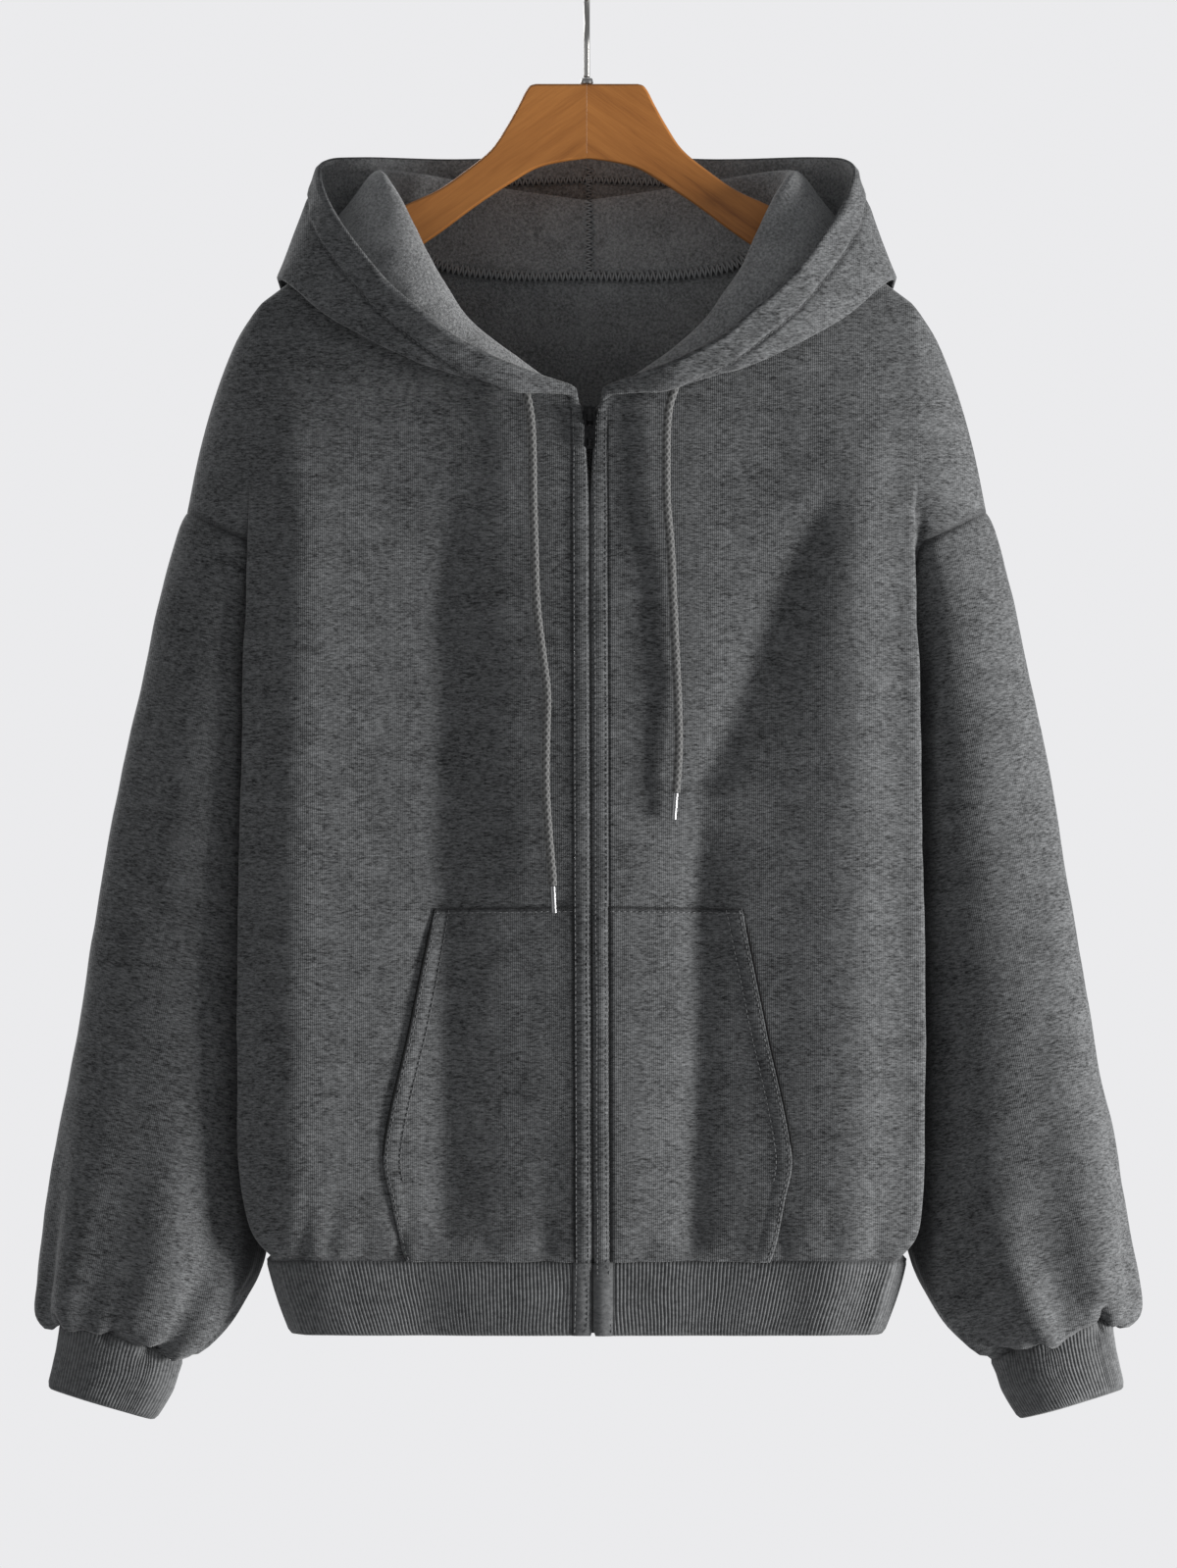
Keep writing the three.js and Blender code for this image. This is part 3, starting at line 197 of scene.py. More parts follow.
def make_mesh(name, points, faces, materials, face_material=None, values=None, smooth_faces=True):
    mesh = bpy.data.meshes.new(name)
    mesh.from_pydata((np.asarray(points) * MM).tolist(), [], faces)
    for material in materials:
        mesh.materials.append(material)
    if face_material is not None:
        mesh.polygons.foreach_set("material_index", np.asarray(face_material, np.int32))
    mesh.polygons.foreach_set("use_smooth", [smooth_faces] * len(mesh.polygons))
    for key, data in (values or {}).items():
        attribute = mesh.attributes.new(key, "FLOAT", "POINT")
        attribute.data.foreach_set("value", np.asarray(data, np.float32))
    mesh.update()
    piece = bpy.data.objects.new(name, mesh)
    bpy.context.scene.collection.objects.link(piece)
    return piece


def grid_faces(rows, cols, closed=False, start=0, flip=False):
    spans = cols if closed else cols - 1
    i, j = np.meshgrid(np.arange(rows - 1), np.arange(spans), indexing="ij")
    a, b = start + i * cols + j, start + i * cols + (j + 1) % cols
    c, d = b + cols, a + cols
    quads = np.stack((a, d, c, b) if flip else (a, b, c, d), -1).reshape(-1, 4)
    return quads.tolist()


def frames_along(line):
    """A side and a front direction at each point of a line, carried along it without twist."""
    tangent = np.gradient(line, axis=0)
    tangent /= np.linalg.norm(tangent, axis=1)[:, None]
    side = np.zeros_like(line)
    start = np.cross(tangent[0], (0, 1, 0) if abs(tangent[0][1]) < 0.9 else (1, 0, 0))
    side[0] = start / np.linalg.norm(start)
    for k in range(1, len(line)):
        turned = side[k - 1] - tangent[k] * np.dot(side[k - 1], tangent[k])
        side[k] = turned / np.linalg.norm(turned)
    return tangent, side, np.cross(tangent, side)


def tube(name, line, radius, around, materials, capped=True, values=None):
    """A tube along a line. The radius is a number, one for each point, or one for each vertex."""
    tangent, side, front = frames_along(line)
    angle = np.linspace(0, 2 * math.pi, around, endpoint=False)
    ring = side[:, None] * np.cos(angle)[None, :, None] + front[:, None] * np.sin(angle)[None, :, None]
    size = np.asarray(radius, float)
    size = size[:, None] if size.ndim == 1 else size
    points = (line[:, None] + ring * np.broadcast_to(size, ring.shape[:2])[..., None]).reshape(-1, 3)
    faces = grid_faces(len(line), around, closed=True)
    if capped:
        faces.append(list(range(around))[::-1])
        faces.append([(len(line) - 1) * around + k for k in range(around)])
    return make_mesh(name, points, faces, materials, values=values)


# %% [markdown]
# Finishes are node trees. A small class wraps a socket, so that sums on sockets read like plain
# sums and add Math nodes by themselves. One method makes any other node: its settings come
# first, and then the values or links of its sockets.

# %% Shader helpers


class Wire:
    """An output socket of a finish, which can be used in sums."""

    def __init__(self, finish, socket):
        self.finish, self.socket = finish, socket

    def _sum(self, operation, a, b=0.0):
        return self.finish.node("ShaderNodeMath", {"operation": operation}, {0: a, 1: b})

    def __add__(self, other):
        return self._sum("ADD", self, other)

    def __sub__(self, other):
        return self._sum("SUBTRACT", self, other)

    def __rsub__(self, other):
        return self._sum("SUBTRACT", other, self)

    def __mul__(self, other):
        return self._sum("MULTIPLY", self, other)

    def __pow__(self, other):
        return self._sum("POWER", self, other)

    __radd__, __rmul__ = __add__, __mul__


class Finish:
    """A material whose shader is one Principled node."""

    def __init__(self, name, color, roughness, metallic=0.0, sheen=0.0, coat=0.0):
        self.material = bpy.data.materials.new(name)
        self.material.use_nodes = True
        self.tree = self.material.node_tree
        self.shader = self.tree.nodes["Principled BSDF"]
        self.set("Base Color", (*color, 1.0))
        self.set("Roughness", roughness)
        self.set("Metallic", metallic)
        self.set("Sheen Weight", sheen)
        self.set("Sheen Roughness", 0.45)
        self.set("Coat Weight", coat)

    def set(self, name, value):
        if isinstance(value, Wire):
            self.tree.links.new(value.socket, self.shader.inputs[name])
        else:
            self.shader.inputs[name].default_value = value

    def node(self, kind, settings=None, sockets=None, out=0):
        made = self.tree.nodes.new(kind)
        for key, value in (settings or {}).items():
            if key == "stops":
                ramp = made.color_ramp.elements
                while len(ramp) < len(value):
                    ramp.new(1.0)
                for element, (at, color) in zip(ramp, value):
                    element.position, element.color = at, (*color, 1.0)
            else:
                setattr(made, key, value)
        for key, value in (sockets or {}).items():
            if isinstance(value, Wire):
                self.tree.links.new(value.socket, made.inputs[key])
            else:
                made.inputs[key].default_value = value
        return Wire(self, made.outputs[out])

    def place(self, scale=(1, 1, 1), turn=(0, 0, 0)):
        """Object coordinates in metres, turned first and then stretched."""
        at = self.node("ShaderNodeTexCoord", out="Object")
        return self.node("ShaderNodeMapping", {"vector_type": "TEXTURE"},
                         {"Vector": at, "Rotation": turn, "Scale": tuple(1 / k for k in scale)})

    def noise(self, at, scale, detail=2.0, rough=0.5):
        return self.node("ShaderNodeTexNoise", {}, {"Vector": at, "Scale": scale, "Detail": detail,
                                                    "Roughness": rough}, "Fac")

    def blend(self, share, dark, light):
        """A colour between two others; a colour is three numbers or a link."""
        pair = [c if isinstance(c, Wire) else (*c, 1.0) for c in (dark, light)]
        return self.node("ShaderNodeMix", {"data_type": "RGBA"}, {0: share, 6: pair[0], 7: pair[1]}, 2)

    def ramp(self, share, stops):
        return self.node("ShaderNodeValToRGB", {"stops": stops}, {"Fac": share})

    def read_value(self, name):
        return self.node("ShaderNodeAttribute", {"attribute_name": name}, out="Fac")

    def bump(self, height, distance, strength=1.0):
        """Small relief, in metres; it is set once, from one sum of heights."""
        self.set("Normal", self.node("ShaderNodeBump", {}, {"Height": height, "Distance": distance,
                                                            "Strength": strength}))


# %% [markdown]
# The cloth is melange sweatshirt jersey: dark and light fibres are spun together, so short
# streaks run across the width of the cloth, a few millimetres long and one high, over slower
# clouds of tone. Noise that is stretched along X and Y and squeezed along Z gives the streaks,
# and on a sleeve it is turned with the sleeve. A faint wave gives the columns of the knit.

# %% The cloth's finishes
CLOTH_DARK = (0.012, 0.0125, 0.013)
CLOTH_LIGHT = (0.200, 0.204, 0.207)
# The colour of painted shade, which a value on each piece's points mixes into the cloth at seams, grooves and under
# folds.
PAINTED_SHADE_DARK = (0.008, 0.008, 0.009)
FLEECE_DARK = (0.120, 0.122, 0.123)
FLEECE_LIGHT = (0.400, 0.404, 0.406)


def cloth_finish(name, lean=0.0):
    finish = Finish(name, CLOTH_DARK, 0.92, sheen=0.22)
    grain = finish.place(scale=(230, 230, 860), turn=(0, lean, 0))
    streaks = finish.noise(grain, 1.0, 3.0, 0.7)
    fibres = finish.noise(finish.place(scale=(600, 600, 1500), turn=(0, lean, 0)), 1.0, 2.0, 0.6)
    clouds = finish.noise(finish.place(scale=(30, 30, 70), turn=(0, lean, 0)), 1.0, 3.0, 0.55)
    share = streaks * 0.62 + fibres * 0.30 + clouds * 0.14
    tone = finish.node("ShaderNodeMapRange", {}, {"Value": share, "From Min": 0.40, "From Max": 0.68})
    cloth = finish.blend(tone, CLOTH_DARK, CLOTH_LIGHT)
    # Painted shade: the jersey darkens towards a near-black by a value that each piece sets on its points.
    finish.set("Base Color", finish.blend(finish.read_value("crease") * 0.85, cloth, PAINTED_SHADE_DARK))
    columns = finish.node("ShaderNodeTexWave", {"wave_type": "BANDS", "bands_direction": "X"},
                          {"Vector": finish.place(turn=(0, lean, 0)), "Scale": 260.0, "Distortion": 0.6,
                           "Detail": 1.0, "Detail Scale": 3.0}, "Fac")
    finish.bump(columns * 0.35 + fibres * 0.65 + streaks * 0.5, 0.0005, 0.55)
    return finish.material


def fleece_finish(name):
    finish = Finish(name, FLEECE_DARK, 1.0, sheen=0.45)
    tufts = finish.noise(finish.place(), 620.0, 4.0, 0.75)
    clouds = finish.noise(finish.place(), 45.0, 2.0, 0.5)
    tone = finish.node("ShaderNodeMapRange", {}, {"Value": tufts * 0.84 + clouds * 0.16,
                                                  "From Min": 0.36, "From Max": 0.64})
    finish.set("Base Color", finish.blend(tone, FLEECE_DARK, FLEECE_LIGHT))
    finish.bump(tufts + clouds * 0.6, 0.0012, 0.8)
    return finish.material


def rib_finish(name):
    """Rib knit, flecked pale along each rib's crown. The colour also holds painted shade between the ribs and painted
    light on their crowns.
    """
    finish = Finish(name, CLOTH_DARK, 0.93, sheen=0.2)
    crown = finish.read_value("crown")
    flecks = finish.noise(finish.place(scale=(260, 260, 420)), 1.0, 3.0, 0.65)
    clouds = finish.noise(finish.place(scale=(20, 20, 30)), 1.0, 2.0, 0.5)
    # Painted light and shade: the rib crowns are paler and the hollows between them darker.
    lit = (crown * 0.48 + 0.47) * (flecks * 1.3 + clouds * 0.35 - 0.18)
    tone = finish.node("ShaderNodeMapRange", {}, {"Value": lit, "From Min": 0.08, "From Max": 0.72})
    rib = finish.blend(tone, (0.026, 0.027, 0.028), (0.195, 0.198, 0.20))
    # Painted shade, as on the jersey, from a value that each piece sets on its points.
    finish.set("Base Color", finish.blend(finish.read_value("crease") * 0.85, rib, PAINTED_SHADE_DARK))
    finish.bump(flecks, 0.0005, 0.6)
    return finish.material


# A near-black finish for a thin tube along each pocket opening: painted shade that stands for the shadow in the slit.
painted_slit_shade = Finish("pocket_slit_painted_shade", (0.004, 0.004, 0.004), 1.0).material
SLEEVE_LEAN = math.radians(11)
cloth_body = cloth_finish("melange_jersey")
cloth_sleeve = {LEFT: cloth_finish("melange_jersey_left_sleeve", -SLEEVE_LEAN),
                RIGHT: cloth_finish("melange_jersey_right_sleeve", SLEEVE_LEAN)}
fleece = fleece_finish("brushed_inside")
rib_cloth = rib_finish("rib_knit")
print("cloth finishes", [m.name for m in bpy.data.materials if "melange" in m.name])

# %% [markdown]
# The trims have their own finishes: sewing thread, the pale braid of the cord, the black zip
# with its woven tape, steel for hook and cord tips, and varnished wood for the hanger.

# %% The trims' finishes


def thread_finish(name, color):
    finish = Finish(name, color, 0.75, sheen=0.2)
    twist = finish.noise(finish.place(), 2600.0, 2.0, 0.6)
    finish.set("Base Color", finish.blend(twist, tuple(c * 0.6 for c in color), tuple(c * 1.3 for c in color)))
    return finish.material


def braid_finish():
    finish = Finish("braided_cord", (0.25, 0.25, 0.24), 0.85, sheen=0.3)
    crown = finish.read_value("crown")
    fibres = finish.noise(finish.place(), 1800.0, 3.0, 0.6)
    # Painted shade: the braid is darker where its surface lies low between the strands, and paler on the strands' tops.
    tone = crown * 0.75 + fibres * 0.35
    finish.set("Base Color", finish.blend(tone, (0.022, 0.022, 0.022), (0.180, 0.179, 0.175)))
    finish.bump(fibres, 0.0002, 0.5)
    return finish.material


def tape_finish():
    finish = Finish("woven_zip_tape", (0.014, 0.014, 0.015), 0.8, sheen=0.15)
    weave = finish.node("ShaderNodeTexWave", {"bands_direction": "Z"},
                        {"Vector": finish.place(), "Scale": 350.0, "Distortion": 0.3}, "Fac")
    finish.set("Base Color", finish.blend(weave, (0.010, 0.010, 0.011), (0.030, 0.030, 0.032)))
    finish.bump(weave, 0.0003, 0.5)
    return finish.material


def metal_finish(name, color, roughness, worn, metallic=1.0):
    finish = Finish(name, color, roughness, metallic)
    wear = finish.noise(finish.place(), 380.0, 4.0, 0.65)
    finish.set("Base Color", finish.blend(wear ** 2.5, color, worn))
    finish.set("Roughness", wear * 0.22 + (roughness - 0.1))
    finish.bump(wear, 0.0001, 0.25)
    return finish.material


WOOD_TONES = [(0.32, (0.260, 0.085, 0.016)), (0.43, (0.450, 0.165, 0.033)), (0.60, (0.560, 0.218, 0.048))]


def wood_finish(name, lean):
    """Wood whose grain runs along the arm, so the two arms meet in a chevron."""
    finish = Finish(name, (0.42, 0.15, 0.04), 0.42, coat=0.25)
    finish.set("Coat Roughness", 0.25)
    along = finish.place(scale=(7, 70, 95), turn=(0, lean, 0))
    sway = finish.noise(finish.place(scale=(3, 8, 22), turn=(0, lean, 0)), 1.0, 2.0, 0.5)
    bands = finish.noise(along, 1.6, 5.0, 0.66)
    pores = finish.noise(finish.place(scale=(60, 900, 900), turn=(0, lean, 0)), 1.0, 2.0, 0.5)
    share = bands * 0.62 + sway * 0.26 + pores * 0.14
    finish.set("Base Color", finish.ramp(share, WOOD_TONES))
    finish.set("Roughness", pores * 0.2 + 0.34)
    finish.bump(pores, 0.0002, 0.35)
    return finish.material


thread = thread_finish("sewing_thread", (0.170, 0.172, 0.174))
serging_thread = thread_finish("serging_thread", (0.340, 0.343, 0.345))
braid = braid_finish()
zip_tape_cloth = tape_finish()
black_metal = metal_finish("black_zip_metal", (0.012, 0.012, 0.013), 0.32, (0.10, 0.10, 0.10), 0.9)
tip_metal = metal_finish("cord_tip_metal", (0.30, 0.30, 0.305), 0.36, (0.55, 0.55, 0.55))
steel = metal_finish("polished_steel", (0.50, 0.49, 0.47), 0.36, (0.40, 0.39, 0.38))
wood = {LEFT: wood_finish("wood_left_arm", math.radians(35)),
        RIGHT: wood_finish("wood_right_arm", math.radians(-35))}
print("finishes", len(bpy.data.materials))

# %% [markdown]
# Now the cords can be made. Eight strands wind each way, and the surface stands highest where a
# strand runs on top. The height is also kept as a value called "crown", which the finish uses for
# painted shade: the braid is darker low between the strands and paler on their tops.

# %% The cords and their tips
STRANDS = 4
BRAID_PITCH = 9.0
BRAID_RELIEF = 0.42
CORD_AROUND = 28
CORD_STEP, STRANDS_PROUD = 0.55, 0.25


def braided_cord(word):
    line = evenly(cord_line(word), CORD_STEP)
    along = run_length(line)[:, None]
    angle = np.linspace(0, 2 * math.pi, CORD_AROUND, endpoint=False)[None, :]
    wind = 2 * math.pi * along / BRAID_PITCH * 2
    over = np.cos(STRANDS * angle + wind)
    under = np.cos(STRANDS * angle - wind)
    crown = np.sqrt(clamp01(np.maximum(over, under)))
    radius = CORD_DIAMETER / 2 + STRANDS_PROUD - BRAID_RELIEF + BRAID_RELIEF * crown
    piece = tube(f"cord_{word}_braid", line, radius, CORD_AROUND, [braid], values={"crown": crown.ravel()})
    return piece, line


def crimped_tip(word, line):
    """A metal tip, crimped with small dents in rows."""
    length, radius = 17.0, 1.8
    direction = line[-1] - line[-2]
    direction /= np.linalg.norm(direction)
    spine = line[-1] + direction * np.linspace(0.1, length + 0.3, 60)[:, None]
    at = np.linspace(0, 1, 60)[:, None]
    angle = np.linspace(0, 2 * math.pi, 20, endpoint=False)[None, :]
    ends = np.minimum(1, np.minimum(at, 1 - at) * 16 + 0.72)
    dents = 0.16 * clamp01(np.cos(2 * math.pi * 5 * at) * 1.6 - 0.5) * clamp01(np.cos(2 * angle) * 1.5)
    return tube(f"cord_{word}_tip", spine, radius * ends - dents, 20, [tip_metal])


for word in CORD_ROUTES:
    cord_piece, cord_path = braided_cord(word)
    tip_piece = crimped_tip(word, cord_path)
    for part, node, slot in ((cord_piece, f"drawcord_{word}", "cord"), (tip_piece, f"cord_tip_{word}", "tip_metal")):
        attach(part, "garment")
        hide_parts(node)
    (cord_path[::6] * MM).tolist() + [(cord_path[-1] * MM).tolist()]

# %% [markdown]
# Cloth is a thin wall about a grid in the middle of its thickness. The outer side is jersey and
# the inner side is fleece, and the rims are rounded. Wrinkles are added along the normals of
# the grid before the wall is made, so that both sides move together and the cloth keeps its
# thickness.

# %% Walls of cloth
CLOTH = 2.2


def grid_normals(grid, closed=False):
    across = np.empty_like(grid)
    if closed:
        across = np.roll(grid, -1, axis=1) - np.roll(grid, 1, axis=1)
    else:
        across = np.gradient(grid, axis=1)
    down = np.gradient(grid, axis=0)
    normals = np.cross(across, down)
    return normals / np.maximum(1e-9, np.linalg.norm(normals, axis=-1))[..., None]


def facing(normals, probe, direction):
    """The same normals, all turned so that the one at the probe points the given way."""
    return normals * np.sign(np.dot(normals[probe], direction))


def soften(values, passes, closed=False):
    """Evens a grid of numbers or points out with its neighbours, and keeps its rims."""
    for _ in range(passes):
        new = values.copy()
        new[1:-1] = values[1:-1] * 0.5 + (values[2:] + values[:-2]) * 0.25
        values = new
        if closed:
            values = values * 0.5 + (np.roll(values, 1, 1) + np.roll(values, -1, 1)) * 0.25
        else:
            new = values.copy()
            new[:, 1:-1] = values[:, 1:-1] * 0.5 + (values[:, 2:] + values[:, :-2]) * 0.25
            values = new
    return values


def extended(grid, normals, closed, by, sink):
    """The grid with its rim drawn out past the seam and a little inward, so that seams close."""
    grid = grid.copy()
    for own, next_one in ((np.s_[0, :], np.s_[1, :]), (np.s_[-1, :], np.s_[-2, :])):
        step = grid[own] - grid[next_one]
        grid[own] = grid[own] + step / np.maximum(1e-6, np.linalg.norm(step, axis=-1))[..., None] * by
        grid[own] = grid[own] - normals[own] * sink
    if not closed:
        for own, next_one in ((np.s_[1:-1, 0], np.s_[1:-1, 1]), (np.s_[1:-1, -1], np.s_[1:-1, -2])):
            step = grid[own] - grid[next_one]
            grid[own] = grid[own] + step / np.maximum(1e-6, np.linalg.norm(step, axis=-1))[..., None] * by
            grid[own] = grid[own] - normals[own] * sink
    return grid


def cloth_wall(name, grid, normals, materials, closed=False, thickness=CLOTH, raised=None, values=None,
               rounding=0.45):
    """A closed thin wall. "raised" adds to its outer side. The materials are outside, inside."""
    rows, cols = grid.shape[:2]
    lift = thickness / 2 + (0 if raised is None else raised[..., None])
    outer = grid + normals * lift
    inner = grid - normals * (thickness / 2)
    points = [outer.reshape(-1, 3), inner.reshape(-1, 3)]
    faces = grid_faces(rows, cols, closed) + grid_faces(rows, cols, closed, rows * cols, True)
    kinds = [0] * (len(faces) // 2) + [1] * (len(faces) // 2)
    index = np.arange(rows * cols).reshape(rows, cols)
    start = 2 * rows * cols
    loops = [index[0], index[-1][::-1]] if closed else [np.concatenate(
        [index[0], index[1:, -1], index[-1, :-1][::-1], index[1:-1, 0][::-1]])]
    neighbours = [index[1], index[-2][::-1]] if closed else [None]
    extra = {key: [np.tile(np.ravel(data), 2)] for key, data in (values or {}).items()}
    for loop, behind in zip(loops, neighbours):
        middle = (outer.reshape(-1, 3)[loop] + inner.reshape(-1, 3)[loop]) / 2
        if behind is None:
            r, c = np.divmod(loop, cols)
            inside = np.clip(r, 1, rows - 2) * cols + np.clip(c, 1, cols - 2)
        else:
            inside = behind
        away = middle - grid.reshape(-1, 3)[inside]
        away /= np.maximum(1e-6, np.linalg.norm(away, axis=-1))[:, None]
        points.append(middle + away * thickness * rounding)
        for key in extra:
            extra[key].append(extra[key][0][loop])
        n = len(loop)
        for k in range(n):
            a, b = loop[k], loop[(k + 1) % n]
            m, q = start + k, start + (k + 1) % n
            faces.append([int(b), int(a), int(m), int(q)])
            faces.append([int(q), int(m), int(a + rows * cols), int(b + rows * cols)])
            kinds += [0, 0]
        start += n
    data = {key: np.concatenate(parts) for key, parts in extra.items()}
    return make_mesh(name, np.vstack(points), faces, materials, kinds, data)


def cloth_area(grid, closed=False):
    """The area of a grid, in square metres."""
    if closed:
        grid = np.concatenate([grid, grid[:, :1]], axis=1)
    across, down = np.diff(grid, axis=1)[:-1], np.diff(grid, axis=0)[:, :-1]
    return float(np.linalg.norm(np.cross(across, down), axis=-1).sum()) * MM * MM


def wander(points, scale, seed):
    """Smooth chance, from -1 to 1, at each point; scale is its size in millimetres."""
    flat = points.reshape(-1, 3) / scale
    shift = Vector((seed * 17.3, seed * 5.1, seed * 9.7))
    found = [noise.noise(Vector(p) + shift) for p in flat]
    return np.array(found).reshape(points.shape[:-1])


# %% [markdown]
# The fronts. Each row runs from the neck or zip edge, over the face, to the fold at the side,
# and then to the armhole or side seam: outward over the shoulder, and tucked back inward below
# it, because the cloth hangs in a fold that the sleeve comes out from behind.

# %% The fronts' sizes
FRONT = table("inOut inUp inY foldOut foldUp foldY outOut outUp outY", [
    [118, -75, 0, 201, -137, 0, 246.5, -265, 9],
    [117.8, -77.2, -8.5, 202, -139.2, -8.5, 244.5, -266, 2],
    [113, -99, -19, 204, -163, -17, 238, -269, -8],
    [105, -119, -26, 204, -182, -21, 231, -272.5, -15],
    [92, -139, -31, 204, -203, -24, 223, -276, -20],
    [73, -158, -34.5, 204, -225, -26, 214, -280, -22.5],
    [42, -180, -37, 204, -248, -27.5, 207.5, -284, -20],
    [7.5, -198, -38.5, 204.5, -270, -28.5, 203, -295, -14],
    [3, -228, -39, 205, -293, -29, 197, -318, -7],
    [1, -262, -39.5, 205.5, -320, -29.5, 190, -348, -1],
    [1, -305, -40, 207, -354, -30, 180, -385, 2],
    [1, -355, -40.5, 208, -392, -30.5, 171, -425, 5],
    [1, -410, -41, 209, -434, -31, 162, -480, 8],
    [1, -462, -41, 210, -473, -31, 156, -508, 8],
    [1, -509, -41.5, 210.5, -512, -31, 152, -534, 8],
    [1, -547, -41.5, 211, -549, -31.5, 150, -562, 8],
    [1, -585, -41.5, 211.5, -586, -31.5, 149, -593, 8],
    [1, -623, -41.5, 211, -623, -31.5, 151, -627, 7.5],
    [1, -661, -41.5, 210.5, -661, -31, 158, -663, 7],
    [1, -690, -41, 208, -691, -30.5, 170, -692, 5],
    [1, -712, -39.5, 203, -712.5, -30, 183, -713, 2],
    [1, -727, -36, 190, -727, -25, 197, -727, 0],
])
NECK_ROW, UNDERARM_ROW, POCKET_ROW, KINK_ROW, HEM_ROW = 7, 12, 14, 18, 21
POCKET_EDGE = table("row out", [[14, 95], [16, 110], [18, 125.5], [19, 121], [21, 112]])
FOLD_LEAN = 3.5
SHOULDER_LINE = table("t out up y", [[0, 201, -137, 0], [0.25, 214, -155, 2], [0.5, 227.5, -188, 4.5],
                                     [0.75, 238.5, -226, 7], [1, 246.5, -265, 9]])
FRONT_TROUGHS = {
    RIGHT: [(-255, 88, -727, 88, 38, 10.5), (-200, 196, -760, 200, 46, -10), (-640, 22, -727, 30, 12, 2)],
    LEFT: [(-250, 150, -440, 70, 32, 8), (-440, 70, -727, 64, 27, 9.5), (-200, 166, -760, 160, 40, -9)],
}
BACK_TROUGHS = [(-330, 20, -727, 40, 34, -6), (-280, 120, -727, 132, 36, -6.5)]
TURN_OUT, TURN_DEEP = 0.5, 4.5


def trough_depth(troughs, out, up):
    total = np.zeros(np.broadcast(out, up).shape)
    for top_up, top_out, end_up, end_out, width, depth in troughs:
        along = (up - top_up) / (end_up - top_up)
        line = mix(top_out, end_out, along)
        ends = smooth(along / 0.25 + 0.35) * smooth((1 - along) / 0.08 + 0.25)
        inside = np.where((along > -0.1) & (along < 1.02), ends, 0)
        away = (out - line) / width
        shape = 1.25 * np.exp(-1.35 * np.sqrt(away ** 2 + 0.004)) if depth > 0 else np.exp(-(away ** 2))
        total = total + depth * inside * shape
    return total


def tucked_point(fold, outer, t):
    """The cloth from the fold to the seam: a short turn, and then in to the seam."""
    deeper = math.copysign(1, outer[1] - fold[1])
    turn = fold + np.array([TURN_OUT, deeper * TURN_DEEP, 0.0])
    turn[2] = mix(fold[2], outer[2], 0.15)
    if t <= 0.25:
        return mix(fold, turn, t / 0.25)
    s = (t - 0.25) / 0.75
    pulled = mix(fold, outer, 0.5)
    pulled[0] = mix(fold[0], outer[0], 0.62)
    pulled[1] = mix(fold[1], outer[1], 0.3)
    return (1 - s) ** 2 * turn + 2 * s * (1 - s) * pulled + s * s * outer


def wrap_points(fold, outer, steps, cap, tuck):
    """Points from the fold to the seam. "cap" is the share of the shoulder's outline, "tuck" of
    the tucked way."""
    first, last = spot(201, -137, 0), spot(246.5, -265, 9)
    points = []
    for t in steps:
        shoulder = spot(*(read(SHOULDER_LINE, k, t, "t") for k in ("out", "up", "y"))) - mix(first, last, t)
        capped = mix(fold, outer, t) + shoulder * cap
        points.append(mix(capped, tucked_point(fold, outer, t), tuck))
    return points


def front_grid(side, rows, shares, steps):
    grid = []
    for i in rows:
        at = {k: float(read(FRONT, k, i)) for k in FRONT}
        lean = -side * FOLD_LEAN * smooth((i - 2) / 6) * smooth((HEM_ROW - i) / 3)
        inner = spot(at["inOut"], at["inUp"], at["inY"])
        fold = spot(at["foldOut"] + lean, at["foldUp"], at["foldY"])
        outer = spot(at["outOut"], at["outUp"], at["outY"])
        face = inner + (fold - inner) * shares[:, None]
        face[:, 1] = mix(inner[1], fold[1], shares ** mix(1.0, 2.0, clamp01(i)))
        free = smooth(shares / 0.2) * smooth((1 - shares) / 0.2) * smooth(i / 6)
        face[:, 1] += free * trough_depth(FRONT_TROUGHS[side], face[:, 0], face[:, 2] - HANGER_TOP)
        wrap = wrap_points(fold, outer, steps, (1 - min(1, i / 7)) ** 1.5, smooth((i - 5) / 3))
        grid.append(np.vstack([face, wrap]))
    return np.array(grid)


# %% [markdown]
# The back is one piece. Its half runs from the middle line to the armhole and side seam, and is
# then mirrored. Its top follows the neck, and the rows below follow the neck less and less.

# %% The back's sizes
BACK = table("midUp midY foldOut foldUp foldY outOut outUp outY", [
    [-118, 28, 201, -137, 0, 246.5, -265, 9],
    [-125, 29.5, 202, -139.2, 8.5, 244.5, -266, 15],
    [-142, 32.5, 204.5, -163, 20, 236, -270, 25],
    [-168, 35, 206, -193, 27, 226, -276, 30],
    [-205, 37.5, 207, -233, 32, 214, -285, 31],
    [-255, 39.5, 205, -283, 36, 204, -303, 27],
    [-315, 41, 203.5, -338, 38.5, 192, -345, 19],
    [-380, 42, 202, -398, 40, 177, -412, 15],
    [-440, 42.5, 201, -452, 40.5, 162, -480, 8],
    [-485, 43, 200, -490, 41, 156, -508, 8],
    [-517, 43, 200, -520, 41, 152, -534, 8],
    [-550, 43, 200, -552, 41, 150, -562, 8],
    [-586, 43, 200.5, -587, 41, 149, -593, 8],
    [-623, 43, 201, -624, 41, 151, -627, 7.5],
    [-661, 43, 202, -661, 40.5, 158, -663, 7],
    [-690, 42.5, 202, -691, 39, 170, -692, 5],
    [-712, 40.5, 199, -712.5, 36, 183, -713, 2],
    [-727, 34, 190, -727, 25, 197, -727, 0],
])
BACK_UNDERARM_ROW, BACK_HEM_ROW = 8, 17
